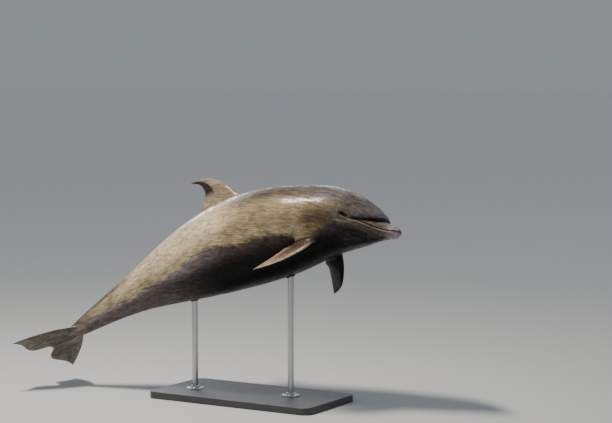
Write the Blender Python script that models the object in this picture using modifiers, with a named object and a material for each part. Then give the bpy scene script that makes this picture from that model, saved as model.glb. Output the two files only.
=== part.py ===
"""A life-size bottlenose dolphin in mid-leap, held by a plain display stand. Metres, +Z up.

The body follows a curved axis from the beak's tip to the notch between the flukes. A place on it
is given as a share of the body's length along the axis, and an angle or an offset round the axis.
"""

import math

import bmesh
import bpy
import numpy as np
from mathutils import Vector

# ---------------------------------------------------------------- driving sizes
BODY_LENGTH = 2.70
BANK = math.radians(20.0)
BEAK_TIP = (1.05, 0.04, 1.10)
GAP = 0.0003
HAIRLINE = GAP / BODY_LENGTH

# Share along the body: how far the beak end points up there, in degrees.
PITCH = [
    (0.00, -9), (0.10, -6), (0.19, 6), (0.29, 14), (0.44, 21), (0.59, 28), (0.74, 32),
    (0.90, 35), (1.06, 38),
]

# Share along the body: height over the axis, depth under it, half width, squareness.
BODY = [
    (0.000, 0.0110, 0.0115, 0.0130, 2.30),
    (0.020, 0.0135, 0.0165, 0.0185, 2.30),
    (0.040, 0.0165, 0.0225, 0.0235, 2.30),
    (0.065, 0.0225, 0.0345, 0.0350, 2.20),
    (0.092, 0.0320, 0.0470, 0.0480, 2.15),
    (0.122, 0.0470, 0.0570, 0.0600, 2.10),
    (0.162, 0.0700, 0.0680, 0.0720, 2.10),
    (0.212, 0.0900, 0.0830, 0.0830, 2.10),
    (0.282, 0.1045, 0.1000, 0.0930, 2.10),
    (0.352, 0.1120, 0.1070, 0.0970, 2.10),
    (0.432, 0.1105, 0.1060, 0.0940, 2.10),
    (0.512, 0.1010, 0.0980, 0.0840, 2.10),
    (0.592, 0.0855, 0.0830, 0.0670, 2.05),
    (0.672, 0.0665, 0.0635, 0.0480, 1.95),
    (0.752, 0.0490, 0.0450, 0.0310, 1.85),
    (0.835, 0.0345, 0.0320, 0.0190, 1.80),
    (0.895, 0.0235, 0.0220, 0.0140, 1.80),
    (0.945, 0.0130, 0.0125, 0.0130, 1.90),
    (1.000, 0.0045, 0.0045, 0.0095, 2.00),
]

# The melon over the beak: share, height, depth under its widest level, half width, that level.
MELON = [
    (0.039, 0.0175, 0.0040, 0.0100, 0.0150),
    (0.046, 0.0265, 0.0080, 0.0200, 0.0200),
    (0.057, 0.0360, 0.0125, 0.0320, 0.0212),
    (0.075, 0.0470, 0.0180, 0.0430, 0.0205),
    (0.098, 0.0580, 0.0260, 0.0530, 0.0190),
    (0.132, 0.0720, 0.0400, 0.0640, 0.0145),
    (0.172, 0.0850, 0.0500, 0.0730, 0.0100),
    (0.222, 0.0920, 0.0600, 0.0780, 0.0080),
]
MELON_POWER = 2.2
CREASE_SHARPNESS = 20.0
BEAK_ROUND = 0.016
TAIL_ROUND = 0.012

# Mouth line on the beak's side: share, height over the axis.
MOUTH = [
    (-0.010, 0.0045), (0.004, 0.0025), (0.018, -0.0018), (0.036, -0.0030), (0.056, -0.0024),
    (0.078, -0.0002), (0.096, 0.0012), (0.112, 0.0006),
]
# The angle of the jaw, behind the mouth's corner and down through the throat.
JAW_ANGLE = [(0.126, -0.013), (0.137, -0.034), (0.140, -0.120)]

EYE_SHARE = 0.1235
EYE_LEVEL = 0.0078
EYE_RADIUS = 0.021
EYE_PROUD = 0.0016

# ---------------------------------------------------------------- fins
EDGE = 0.0012             # half thickness kept along a fin's edges

DORSAL_START = 0.417
DORSAL_HEIGHT = 0.100
DORSAL_REACH = 0.107
DORSAL_FLARE = 0.014
DORSAL_THICK = 0.0105
DORSAL_REAR = [(0, 0.119), (0.25, 0.091), (0.45, 0.079), (0.70, 0.0800), (0.90, 0.093), (1, 0.107)]
DORSAL_FILLET = 0.13

FLIPPER_LENGTH = 0.136
FLIPPER_CHORD = 0.051
FLIPPER_THICK = 0.0052
FLIPPER_FILLET = 0.13
FLIPPER_SHARE = 0.207
FLIPPER_ANGLE = math.radians(-41.0)
# Out from the body, forward, up: the way the blade points, and where its front edge faces.
FLIPPER_REACH = {"left": (0.78, -0.22, -0.59), "right": (0.45, -0.64, -0.62)}
FLIPPER_FRONT = {"left": (-0.27, 0.80, -0.50), "right": (0.52, 0.76, -0.39)}
FLIPPER_ROOT_TILT = {"left": math.radians(-4.0), "right": 0.0}

FLUKE_START = 0.905
FLUKE_NOTCH = 0.992
FLUKE_SPAN = 0.112
FLUKE_ROOT = 0.0095
FLUKE_THICK = 0.0068
FLUKE_FILLET = 0.20


def smooth_table(table):
    """Natural cubic spline through the rows of a table, keyed by its first column."""
    rows = np.array(table, float)
    x, y = rows[:, 0], rows[:, 1:]
    h = np.diff(x)
    n = len(x)
    system = np.eye(n)
    right = np.zeros_like(y)
    for i in range(1, n - 1):
        system[i, i - 1:i + 2] = h[i - 1], 2 * (h[i - 1] + h[i]), h[i]
        right[i] = 6 * ((y[i + 1] - y[i]) / h[i] - (y[i] - y[i - 1]) / h[i - 1])
    m = np.linalg.solve(system, right)

    def at(value):
        t = np.clip(np.atleast_1d(np.asarray(value, float)), x[0], x[-1])
        i = np.clip(np.searchsorted(x, t) - 1, 0, n - 2)
        d = h[i][:, None]
        u = (x[i + 1] - t)[:, None]
        v = (t - x[i])[:, None]
        bend = (m[i] * u ** 3 + m[i + 1] * v ** 3) / (6 * d)
        return bend + (y[i] / d - m[i] * d / 6) * u + (y[i + 1] / d - m[i + 1] * d / 6) * v

    return at


body_at = smooth_table(BODY)
melon_at = smooth_table(MELON)
dorsal_rear_at = smooth_table(DORSAL_REAR)
mouth_at = smooth_table(MOUTH)

AXIS_SHARE = np.linspace(0, PITCH[-1][0], 1061)
AXIS_PITCH = np.radians(smooth_table(PITCH)(AXIS_SHARE)[:, 0])


def running_sum(rate):
    """Integral of a rate along the axis, from the beak's tip."""
    steps = (rate[1:] + rate[:-1]) / 2 * np.diff(AXIS_SHARE)
    return np.concatenate([[0], np.cumsum(steps)])


AXIS_X = running_sum(-np.cos(AXIS_PITCH))
AXIS_Z = running_sum(-np.sin(AXIS_PITCH))


def unit(vector):
    vector = np.asarray(vector, float)
    return vector / np.linalg.norm(vector, axis=-1, keepdims=True)


def place(share, side, height):
    """World points from shares along the axis, offsets to the left and heights over the axis."""
    share, side, height = np.broadcast_arrays(np.asarray(share, float), side, height)
    pitch = np.interp(share, AXIS_SHARE, AXIS_PITCH)
    x = (np.interp(share, AXIS_SHARE, AXIS_X) - np.sin(pitch) * height) * BODY_LENGTH
    y = side * BODY_LENGTH
    z = (np.interp(share, AXIS_SHARE, AXIS_Z) + np.cos(pitch) * height) * BODY_LENGTH
    rolled_y = y * math.cos(BANK) + z * math.sin(BANK)
    rolled_z = z * math.cos(BANK) - y * math.sin(BANK)
    return np.stack([x, rolled_y, rolled_z], -1) + np.array(BEAK_TIP)


def end_round(reach):
    """Quarter-circle growth of the sections from 0 at a rounded end to 1."""
    return np.sqrt(np.clip(1 - (1 - np.clip(reach, 0, 1)) ** 2, 1e-6, 1))


def outline(share, angle):
    """Radius of the section at a share, in a direction: 0 is the left side, 90 degrees the back."""
    share, angle = np.broadcast_arrays(np.asarray(share, float), np.asarray(angle, float))
    s, across, rise = share.ravel(), np.cos(angle.ravel()), np.sin(angle.ravel())
    top, low, half, power = body_at(s).T
    grown = end_round(s / BEAK_ROUND) * end_round((1 - s) / TAIL_ROUND)
    wide, tall = half * grown, np.where(rise > 0, top, low) * grown
    radius = (np.abs(across / wide) ** power + np.abs(rise / tall) ** power) ** (-1 / power)
    melon = (s > MELON[0][0]) & (s < MELON[-1][0])
    if melon.any():
        body = (across[melon], rise[melon], wide[melon], tall[melon], power[melon])
        radius[melon] = melon_outline(s[melon], *body)
    return radius.reshape(share.shape)


def melon_outline(s, across, rise, wide, tall, power):
    """Radius of the sections where the melon's lobe swells out of the head, softly joined to it."""
    melon_top, melon_low, melon_half, level = melon_at(s).T

    def outside(radius):
        y, z = radius * across, radius * rise
        body = np.abs(y / wide) ** power + np.abs(z / tall) ** power - 1
        over = z - level
        height = np.where(over > 0, melon_top - level, melon_low)
        melon = np.abs(y / melon_half) ** MELON_POWER + np.abs(over / height) ** MELON_POWER - 1
        return -np.logaddexp(-CREASE_SHARPNESS * body, -CREASE_SHARPNESS * melon)

    inner, outer = np.zeros_like(s), np.full_like(s, 0.12)
    found = np.zeros(s.shape, bool)
    for radius in np.linspace(0.12, 0.0, 61)[1:]:
        crossed = (outside(np.full_like(s, radius)) < 0) & ~found
        inner[crossed] = radius
        found |= crossed
        outer[~found] = radius
    for _ in range(22):
        middle = (inner + outer) / 2
        within = outside(middle) < 0
        inner = np.where(within, middle, inner)
        outer = np.where(within, outer, middle)
    return (inner + outer) / 2


def surface(share, angle):
    radius = outline(share, angle)
    return place(share, radius * np.cos(angle), radius * np.sin(angle))


def outward(share, angle):
    """Unit normal of the body's surface."""
    step = 0.0008
    along = surface(share + step, angle) - surface(share - step, angle)
    around = surface(share, angle + 0.02) - surface(share, angle - 0.02)
    return unit(np.cross(along, around))


def aerofoil(c):
    """Half thickness along a chord, 0 at the front edge, as a share of the greatest."""
    c = np.clip(c, 0, 1)
    curve = 0.2969 * np.sqrt(c) - 0.1260 * c - 0.3516 * c ** 2 + 0.2843 * c ** 3 - 0.1036 * c ** 4
    return curve * 10


def section_place(tau, thick):
    """Place on the chord (0 front, 1 rear) and signed half thickness, going round a section."""
    c = (1 - np.cos(tau)) / 2
    edge = EDGE / BODY_LENGTH * np.sqrt(1 - (2 * c - 1) ** 8)
    return c, np.sign(np.sin(tau)) * (thick * aerofoil(c) + edge)


def dorsal_section(v, tau):
    """Share, offset and height over the back of the dorsal fin's skin, at v of its height."""
    c, half = section_place(tau, DORSAL_THICK * (1 - v) ** 0.8)
    front = DORSAL_START + DORSAL_REACH * (0.25 * v + 0.75 * (1 - np.sqrt(1 - v ** 2)))
    front -= DORSAL_FLARE * (1 - v) ** 3
    rear = DORSAL_START + dorsal_rear_at(v)[0, 0]
    return np.stack([front + (rear - front) * c, half, DORSAL_HEIGHT * v + 0 * c], -1)


def dorsal_place(points):
    """World points from shares, offsets and heights over the back."""
    share, side, height = points[..., 0], points[..., 1], points[..., 2]
    back = outline(share, np.full(share.shape, math.pi / 2))
    angle = math.pi / 2 - np.arcsin(np.clip(side / back, -0.9, 0.9))
    radius = outline(share, angle)
    return place(share, radius * np.cos(angle), radius * np.sin(angle) + height)


def fluke_section(side, v, tau):
    """Share, offset and height of a fluke's skin, at v of its span; side is 1 left, -1 right."""
    c, half = section_place(tau, FLUKE_THICK * (1 - v) ** 0.9)
    front = FLUKE_START + 0.060 * v + 0.060 * v ** 2.2
    swell = math.sin(math.pi * v ** 0.7) ** 1.3 if 0 < v < 1 else 0.0
    rear = FLUKE_NOTCH + 0.040 * swell * (1 - v) + 0.033 * v
    droop = -0.004 * v ** 2
    reach = side * (FLUKE_ROOT + FLUKE_SPAN * v)
    return np.stack([front + (rear - front) * c, reach + 0 * c, half + droop], -1)


def local_directions(share, side):
    """Unit vectors out to a side, forward and up, in the world."""
    step = 0.001
    origin = place(share, 0.0, 0.0)
    out = unit(place(share, side * step, 0.0) - origin)
    forward = unit(place(share - step, 0.0, 0.0) - origin)
    up = unit(place(share, 0.0, step) - origin)
    return np.array([out, forward, up])


def smooth_step(t):
    t = np.clip(t, 0, 1)
    return t * t * (3 - 2 * t)


def flipper_edges(v):
    """Front and rear edges along the chord's direction, in shares, at v of the blade's length."""
    front = 0.5 + 0.10 * math.sin(math.pi * v) - 1.15 * v ** 2.4
    rear = -0.5 - 0.15 * v - 0.14 * math.sin(math.pi * v ** 0.75) * (1 - v)
    return FLIPPER_CHORD * front, FLIPPER_CHORD * rear


def side_angle(name, angle):
    """Angle round the body of a place so far above the middle of the left or right side."""
    return angle if name == "left" else math.pi - angle


def flipper_section(name, v, tau):
    """World points round a flipper's skin, at v of its length."""
    side = 1 if name == "left" else -1
    c, half = section_place(tau, FLIPPER_THICK * (1 - v) ** 0.8)
    axes = local_directions(FLIPPER_SHARE, side)
    reach = unit(np.array(FLIPPER_REACH[name]) @ axes)
    chord = np.array(FLIPPER_FRONT[name]) @ axes
    chord = unit(chord - reach * (chord @ reach))
    root_angle = side_angle(name, FLIPPER_ANGLE)
    share, angle = np.array([FLIPPER_SHARE]), np.array([root_angle])
    root, normal = surface(share, angle)[0], outward(share, angle)[0]
    ahead = unit(axes[1] - normal * (axes[1] @ normal))
    upward = unit(np.cross(ahead, normal)) * side
    tilt = FLIPPER_ROOT_TILT[name]
    root_chord = ahead * math.cos(tilt) + upward * math.sin(tilt)
    turned = smooth_step(v / 0.5)
    here = unit(root_chord * (1 - turned) + chord * turned)
    front0, rear0 = flipper_edges(0.0)
    start = front0 + (rear0 - front0) * c
    turn = start * math.sin(tilt) / outline(share, angle)[0] * side
    on_skin = surface(FLIPPER_SHARE - start * math.cos(tilt), root_angle + turn)
    seated = on_skin - root - root_chord * start[:, None] * BODY_LENGTH
    front, rear = flipper_edges(v)
    along = front + (rear - front) * c
    face = unit(np.cross(here, reach)) * side
    blade = reach * FLIPPER_LENGTH * v + here * along[:, None] + face * half[:, None]
    return root + BODY_LENGTH * blade + seated * (1 - turned)


# ---------------------------------------------------------------- rings and columns of the solids
COLUMNS = 40
ANGLES = -math.pi / 2 + 2 * math.pi * np.arange(COLUMNS) / COLUMNS
LEFT_SIDE, BACK, RIGHT_SIDE = COLUMNS // 4, COLUMNS // 2, COLUMNS * 3 // 4

NECK = 0.165
TAIL_ROOT = 0.62
NOSE_SHARES = [BEAK_ROUND * (1 - math.cos(math.radians(a))) for a in (18, 36, 54, 72, 90)]
HEAD_SHARES = NOSE_SHARES + [
    0.022, 0.028, 0.033, 0.037, 0.041, 0.046, 0.053, 0.062, 0.074, 0.088, 0.103, 0.118, 0.133, 0.149,
    NECK,
]
FLIPPER_SHARES = [0.170, 0.1885, 0.207, 0.2255, 0.244]
DORSAL_SHARES = [0.388, 0.414, 0.440, 0.466, 0.492, 0.517, 0.543]
CHEST_SHARES = [0.270, 0.300, 0.326, 0.350, 0.370]
TRUNK_SHARES = [NECK + HAIRLINE] + FLIPPER_SHARES + CHEST_SHARES + DORSAL_SHARES + [0.58, TAIL_ROOT]
FLUKE_SHARES = [0.893, 0.913, 0.933, 0.953, 0.973, 0.994]
PEDUNCLE_SHARES = [TAIL_ROOT + HAIRLINE, 0.665, 0.71, 0.755, 0.80, 0.84, 0.87]
TAIL_SHARES = PEDUNCLE_SHARES + FLUKE_SHARES + [0.9975]

# The seats the fins grow from: first and last ring, lowest and highest column.
FLIPPER_PATCHES = {
    "left": (1, 5, LEFT_SIDE - 7, LEFT_SIDE - 3),
    "right": (1, 5, RIGHT_SIDE + 3, RIGHT_SIDE + 7),
}
DORSAL_PATCH = (11, 17, BACK - 2, BACK + 2)
FLUKE_PATCHES = {
    "left": (7, 12, LEFT_SIDE - 5, LEFT_SIDE + 5),
    "right": (7, 12, RIGHT_SIDE - 5, RIGHT_SIDE + 5),
}
SEAT_DEPTH = 0.004
FIN_GAP = 1.5 * GAP

# ---------------------------------------------------------------- stand
BASE_SIZE = (1.20, 0.60, 0.045)
BASE_CORNER = 0.06
BASE_EASE = 0.006
ROD_RADIUS = 0.019
ROD_SHARES = {"front": 0.29, "rear": 0.555}
ROD_SIDES = 20
COLLAR_RADIUS = 0.058
COLLAR_HEIGHT = 0.020
COLLAR_NECK = 0.027

PARTS = bpy.data.collections.new("bottlenose_dolphin")
CUTTERS = bpy.data.collections.new("cutters")


def clear_scene():
    for thing in list(bpy.data.objects):
        bpy.data.objects.remove(thing, do_unlink=True)
    for group in (PARTS, CUTTERS):
        bpy.context.scene.collection.children.link(group)


def finish(name, colour, roughness, metallic=0.0):
    material = bpy.data.materials.new(name)
    material.use_nodes = True
    shader = material.node_tree.nodes["Principled BSDF"]
    shader.inputs["Base Color"].default_value = (*colour, 1.0)
    shader.inputs["Roughness"].default_value = roughness
    shader.inputs["Metallic"].default_value = metallic
    return material


def make_object(name, vertices, faces, material=None, group=None):
    """One closed mesh object with its faces turned outwards, shaded smooth."""
    mesh = bpy.data.meshes.new(name)
    mesh.from_pydata([tuple(v) for v in vertices], [], faces)
    shell = bmesh.new()
    shell.from_mesh(mesh)
    bmesh.ops.recalc_face_normals(shell, faces=shell.faces)
    bmesh.ops.triangulate(shell, faces=shell.faces)
    shell.to_mesh(mesh)
    shell.free()
    return link_object(name, mesh, material, group)


def link_object(name, mesh, material=None, group=None):
    thing = bpy.data.objects.new(name, mesh)
    (group or PARTS).objects.link(thing)
    if material:
        mesh.materials.append(material)
        mesh.shade_smooth()
        mesh.set_sharp_from_angle(angle=math.radians(40))
    else:
        thing.hide_render = True
        thing.display_type = "WIRE"
    return thing


def cut(thing, cutter, operation="DIFFERENCE"):
    boolean = thing.modifiers.new(operation.lower(), "BOOLEAN")
    boolean.operation = operation
    boolean.solver = "EXACT"
    boolean.object = cutter


# ---------------------------------------------------------------- lofts
def patch_rim(patch):
    """(ring, column) pairs round a patch, from the middle of its front edge, high side first."""
    first, last, low, high = patch
    middle = (low + high) // 2
    front_out = [(first, j) for j in range(middle, high)]
    high_side = [(i, high) for i in range(first, last)]
    rear = [(last, j) for j in range(high, low, -1)]
    low_side = [(i, low) for i in range(last, first, -1)]
    front_in = [(first, j) for j in range(low, middle)]
    return front_out + high_side + rear + low_side + front_in


def seat(shares, patch):
    """Points and normals of the seat under a fin: the skin at its rim, sunk a little inside."""
    first, last, low, high = patch
    stations = np.array(shares)[first:last + 1]
    share, angle = np.meshgrid(stations, ANGLES[low:high + 1], indexing="ij")
    normals = outward(share, angle)
    depth = np.zeros(share.shape + (1,))
    depth[1:-1, 1:-1] = SEAT_DEPTH
    return surface(share, angle) - normals * depth, normals


def loft_body(shares, patches=(), front_pole=None, rear_pole=None):
    """Vertices and faces of a length of the body, closed by a fan at each end."""
    share, angle = np.meshgrid(np.array(shares), ANGLES, indexing="ij")
    points = surface(share, angle)
    for patch in patches:
        first, last, low, high = patch
        points[first:last + 1, low:high + 1] = seat(shares, patch)[0]
    rings = len(shares)
    poles = [shares[0] if front_pole is None else front_pole]
    poles.append(shares[-1] if rear_pole is None else rear_pole)
    vertices = list(points.reshape(-1, 3)) + [place(pole, 0.0, 0.0) for pole in poles]
    front, rear = rings * COLUMNS, rings * COLUMNS + 1
    faces = []
    for j in range(COLUMNS):
        k = (j + 1) % COLUMNS
        for i in range(rings - 1):
            row, after = i * COLUMNS, (i + 1) * COLUMNS
            faces.append((row + j, after + j, after + k, row + k))
        last = (rings - 1) * COLUMNS
        faces.append((front, j, k))
        faces.append((rear, last + k, last + j))
    return vertices, faces


def fin_stations(fillet, fillet_rows, blade_rows):
    """(fillet progress, share of the fin's length) of each loop between its rim and its tip."""
    stations = []
    for row in range(1, fillet_rows + 1):
        progress = row / fillet_rows
        stations.append((progress, fillet * progress ** 2))
    for row in range(1, blade_rows):
        reach = math.sin(math.pi / 2 * row / blade_rows)
        stations.append((1.0, fillet + (1 - fillet) * reach))
    return stations


def grow_fin(shares, patch, section, to_world, rim_points, stations, turn):
    """Vertices and faces of a fin on its seat: loops that narrow from the rim to the tip."""
    points, normals = seat(shares, patch)
    points = points + normals * FIN_GAP
    first, last, low, high = patch
    width = high - low + 1
    vertices = list(points.reshape(-1, 3))
    faces = []
    for i in range(last - first):
        for j in range(high - low):
            a = i * width + j
            faces.append((a, a + 1, a + 1 + width, a + width))
    rim = patch_rim(patch)
    loop = [(i - first) * width + (j - low) for i, j in rim]
    count = len(loop)
    tau = turn * 2 * math.pi * np.arange(count) / count
    spread = rim_points - section(0.0, tau)
    for progress, v in stations:
        ring = to_world(section(v, tau) + spread * (1 - progress) ** 2)
        start = len(vertices)
        vertices.extend(ring)
        following = list(range(start, start + count))
        for k in range(count):
            n = (k + 1) % count
            faces.append((loop[k], loop[n], following[n], following[k]))
        loop = following
    tip = len(vertices)
    vertices.append(to_world(section(1.0, np.array([0.5 * math.pi])))[0])
    for k in range(count):
        faces.append((loop[k], loop[(k + 1) % count], tip))
    return vertices, faces


def rim_places(shares, patch):
    """Share and angle of each point of a patch's rim."""
    rim = patch_rim(patch)
    share = np.array([shares[i] for i, _ in rim])
    angle = np.array([ANGLES[j] for _, j in rim])
    return share, angle, outline(share, angle)


def same(points):
    return points


def spine_place(points):
    return place(points[..., 0], points[..., 1], points[..., 2])


# ---------------------------------------------------------------- the animal
def make_dorsal_fin(skin):
    share, angle, radius = rim_places(TRUNK_SHARES, DORSAL_PATCH)
    rim = np.stack([share, radius * np.cos(angle), 0 * share], -1)
    stations = fin_stations(DORSAL_FILLET, 3, 8)
    shape = grow_fin(TRUNK_SHARES, DORSAL_PATCH, dorsal_section, dorsal_place, rim, stations, -1)
    return make_object("dorsal_fin", *shape, skin)


def make_flipper(name, skin):
    patch = FLIPPER_PATCHES[name]
    share, angle, _ = rim_places(TRUNK_SHARES, patch)
    turn = 1 if name == "left" else -1

    def section(v, tau):
        return flipper_section(name, v, tau)

    stations = fin_stations(FLIPPER_FILLET, 3, 8)
    rim = surface(share, angle)
    shape = grow_fin(TRUNK_SHARES, patch, section, same, rim, stations, turn)
    return make_object("flipper_" + name, *shape, skin)


def make_fluke(name, skin):
    patch = FLUKE_PATCHES[name]
    share, angle, radius = rim_places(TAIL_SHARES, patch)
    turn = 1 if name == "left" else -1

    def section(v, tau):
        return fluke_section(turn, v, tau)

    rim = np.stack([share, radius * np.cos(angle), radius * np.sin(angle)], -1)
    stations = fin_stations(FLUKE_FILLET, 3, 8)
    shape = grow_fin(TAIL_SHARES, patch, section, spine_place, rim, stations, turn)
    return make_object("fluke_" + name, *shape, skin)


def jaw_block(name, clearance):
    """A block under the mouth line and before the jaw's angle, right through the head."""
    reach = 0.12
    line = [(s, mouth_at(s)[0, 0]) for s in np.linspace(MOUTH[0][0], MOUTH[-1][0], 13)]
    path = [(s + clearance, z + clearance) for s, z in line + JAW_ANGLE]
    path[0] = (MOUTH[0][0], path[0][1])
    path.append((MOUTH[0][0], JAW_ANGLE[-1][1]))
    count = len(path)
    vertices = [place(s, side * reach, z) for side in (1, -1) for s, z in path]
    faces = [tuple(range(count)), tuple(range(2 * count - 1, count - 1, -1))]
    for k in range(count):
        n = (k + 1) % count
        faces.append((k, n, count + n, count + k))
    return make_object(name, vertices, faces, group=CUTTERS)


def eye_places():
    """Centre and outward direction of each eyeball."""
    angles = np.linspace(0, math.pi / 4, 200)
    radius = outline(np.full(angles.shape, EYE_SHARE), angles)
    level = float(np.interp(EYE_LEVEL, radius * np.sin(angles), angles))
    places = {}
    for name in ("left", "right"):
        angle = np.array([side_angle(name, level)])
        normal = outward(np.array([EYE_SHARE]), angle)[0]
        skin = surface(np.array([EYE_SHARE]), angle)[0]
        places[name] = (skin - normal * (EYE_RADIUS - EYE_PROUD), normal)
    return places


def make_ball(name, centre, axis, radius, material=None, group=None):
    mesh = bpy.data.meshes.new(name)
    ball = bmesh.new()
    bmesh.ops.create_uvsphere(ball, u_segments=16, v_segments=8, radius=radius)
    turn = Vector(axis).to_track_quat("Z", "Y").to_matrix()
    bmesh.ops.rotate(ball, verts=ball.verts, matrix=turn)
    bmesh.ops.translate(ball, verts=ball.verts, vec=Vector(centre))
    ball.to_mesh(mesh)
    ball.free()
    return link_object(name, mesh, material, group)


def make_animal():
    skin = finish("wet_grey_skin", (0.235, 0.205, 0.170), 0.32)
    belly = finish("throat_skin", (0.300, 0.265, 0.235), 0.34)
    dark = finish("dark_eye", (0.012, 0.009, 0.008), 0.06)
    head_shape = loft_body(HEAD_SHARES, front_pole=0.0)
    head = make_object("head", *head_shape, skin)
    lower_jaw = make_object("lower_jaw", *head_shape, belly)
    cut(lower_jaw, jaw_block("jaw_block", 0.0), "INTERSECT")
    for name, (centre, normal) in eye_places().items():
        make_ball("eye_" + name, centre, normal, EYE_RADIUS, dark)
        socket = make_ball("socket_" + name, centre, normal, EYE_RADIUS + FIN_GAP, group=CUTTERS)
        cut(head, socket)
    cut(head, jaw_block("jaw_room", 1.2 * HAIRLINE))
    patches = list(FLIPPER_PATCHES.values()) + [DORSAL_PATCH]
    trunk_shape = loft_body(TRUNK_SHARES, patches)
    make_object("trunk", *trunk_shape, skin)
    tail_shape = loft_body(TAIL_SHARES, FLUKE_PATCHES.values(), rear_pole=1.0)
    make_object("tail_stock", *tail_shape, skin)
    make_dorsal_fin(skin)
    for name in ("left", "right"):
        make_flipper(name, skin)
        make_fluke(name, skin)
    return trunk_shape


# ---------------------------------------------------------------- the stand
def make_base(material):
    mesh = bpy.data.meshes.new("stand_base")
    block = bmesh.new()
    bmesh.ops.create_cube(block, size=1.0)
    bmesh.ops.scale(block, verts=block.verts, vec=BASE_SIZE)
    bmesh.ops.translate(block, verts=block.verts, vec=(0, 0, BASE_SIZE[2] / 2))
    upright = [e for e in block.edges if abs(e.verts[0].co.z - e.verts[1].co.z) > 0.5 * BASE_SIZE[2]]
    bmesh.ops.bevel(block, geom=upright, offset=BASE_CORNER, segments=5, profile=0.5, affect="EDGES")
    rim = [e for e in block.edges if min(v.co.z for v in e.verts) > 0.9 * BASE_SIZE[2]]
    bmesh.ops.bevel(block, geom=rim, offset=BASE_EASE, segments=2, profile=0.5, affect="EDGES")
    block.to_mesh(mesh)
    block.free()
    return link_object("stand_base", mesh, material)


def make_rod(name, share, body_shape, material):
    """A bar from the base up to the belly, its top shaped to the skin."""
    axis = place(share, 0.0, 0.0)
    bottom = BASE_SIZE[2] + GAP
    bpy.ops.mesh.primitive_cylinder_add(
        vertices=ROD_SIDES, radius=ROD_RADIUS, depth=axis[2] - bottom,
        location=(axis[0], axis[1], (axis[2] + bottom) / 2))
    rod = bpy.context.object
    rod.name = "stand_rod_" + name
    for group in list(rod.users_collection):
        group.objects.unlink(rod)
    PARTS.objects.link(rod)
    rod.data.materials.append(material)
    rod.data.shade_smooth()
    rod.data.set_sharp_from_angle(angle=math.radians(40))
    body = make_object("body_over_rod_" + name, *body_shape, group=CUTTERS)
    body.location = (0, 0, -1.5 * GAP)
    cut(rod, body)
    return axis


def make_collar(name, axis, material):
    """A turned flange round a rod's foot."""
    bore = ROD_RADIUS + 1.5 * GAP
    ease = 0.003
    profile = [
        (bore, COLLAR_HEIGHT), (COLLAR_NECK - ease, COLLAR_HEIGHT), (COLLAR_NECK, COLLAR_HEIGHT - ease),
        (COLLAR_NECK + ease, 0.40 * COLLAR_HEIGHT), (COLLAR_RADIUS - ease, 0.34 * COLLAR_HEIGHT),
        (COLLAR_RADIUS, 0.20 * COLLAR_HEIGHT), (COLLAR_RADIUS, 0.0), (bore, 0.0),
    ]
    mesh = bpy.data.meshes.new("stand_collar_" + name)
    edges = [(k, (k + 1) % len(profile)) for k in range(len(profile))]
    mesh.from_pydata([(radius, 0, height) for radius, height in profile], edges, [])
    collar = link_object("stand_collar_" + name, mesh, material)
    collar.location = (axis[0], axis[1], BASE_SIZE[2] + GAP)
    turned = collar.modifiers.new("turned", "SCREW")
    turned.steps = ROD_SIDES
    turned.render_steps = ROD_SIDES
    turned.use_merge_vertices = True
    turned.merge_threshold = 0.0001
    turned.use_normal_calculate = True


def make_stand(body_shape):
    plinth = finish("dark_plinth", (0.030, 0.030, 0.032), 0.40)
    steel = finish("brushed_steel", (0.58, 0.58, 0.57), 0.30, 1.0)
    make_base(plinth)
    for name, share in ROD_SHARES.items():
        axis = make_rod(name, share, body_shape, steel)
        make_collar(name, axis, steel)


clear_scene()
make_stand(make_animal())
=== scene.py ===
import math
from functools import partial

import bmesh
import bpy
import numpy as np
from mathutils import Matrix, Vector
from mathutils.bvhtree import BVHTree


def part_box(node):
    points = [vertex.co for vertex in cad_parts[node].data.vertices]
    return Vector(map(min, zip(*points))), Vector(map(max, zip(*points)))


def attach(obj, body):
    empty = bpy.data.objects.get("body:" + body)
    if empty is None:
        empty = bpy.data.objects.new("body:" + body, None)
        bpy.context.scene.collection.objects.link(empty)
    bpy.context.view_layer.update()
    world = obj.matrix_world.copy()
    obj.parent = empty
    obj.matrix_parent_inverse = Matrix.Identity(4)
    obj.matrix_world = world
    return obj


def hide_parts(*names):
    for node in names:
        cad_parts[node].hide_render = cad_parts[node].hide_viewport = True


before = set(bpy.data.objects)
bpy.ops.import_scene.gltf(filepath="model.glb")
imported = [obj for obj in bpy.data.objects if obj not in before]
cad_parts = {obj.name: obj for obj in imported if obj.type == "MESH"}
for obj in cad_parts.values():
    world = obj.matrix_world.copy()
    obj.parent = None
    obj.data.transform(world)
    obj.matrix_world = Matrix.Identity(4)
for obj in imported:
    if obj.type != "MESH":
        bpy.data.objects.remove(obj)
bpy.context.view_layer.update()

# ---------------------------------------------------------------- driving sizes
BODY_LENGTH = 2.70
BANK = math.radians(20.0)
SIDES = {"left": 1, "right": -1}
NEAR_SIDE = "right"
BEAK_TIP = (1.05, 0.04, 1.10)

# Share along the body: how far the beak end points up there, in degrees.
PITCH = [
    (0.00, -9), (0.10, -6), (0.19, 6), (0.29, 14), (0.44, 21), (0.59, 28), (0.74, 32),
    (0.90, 35), (1.06, 38),
]

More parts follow.
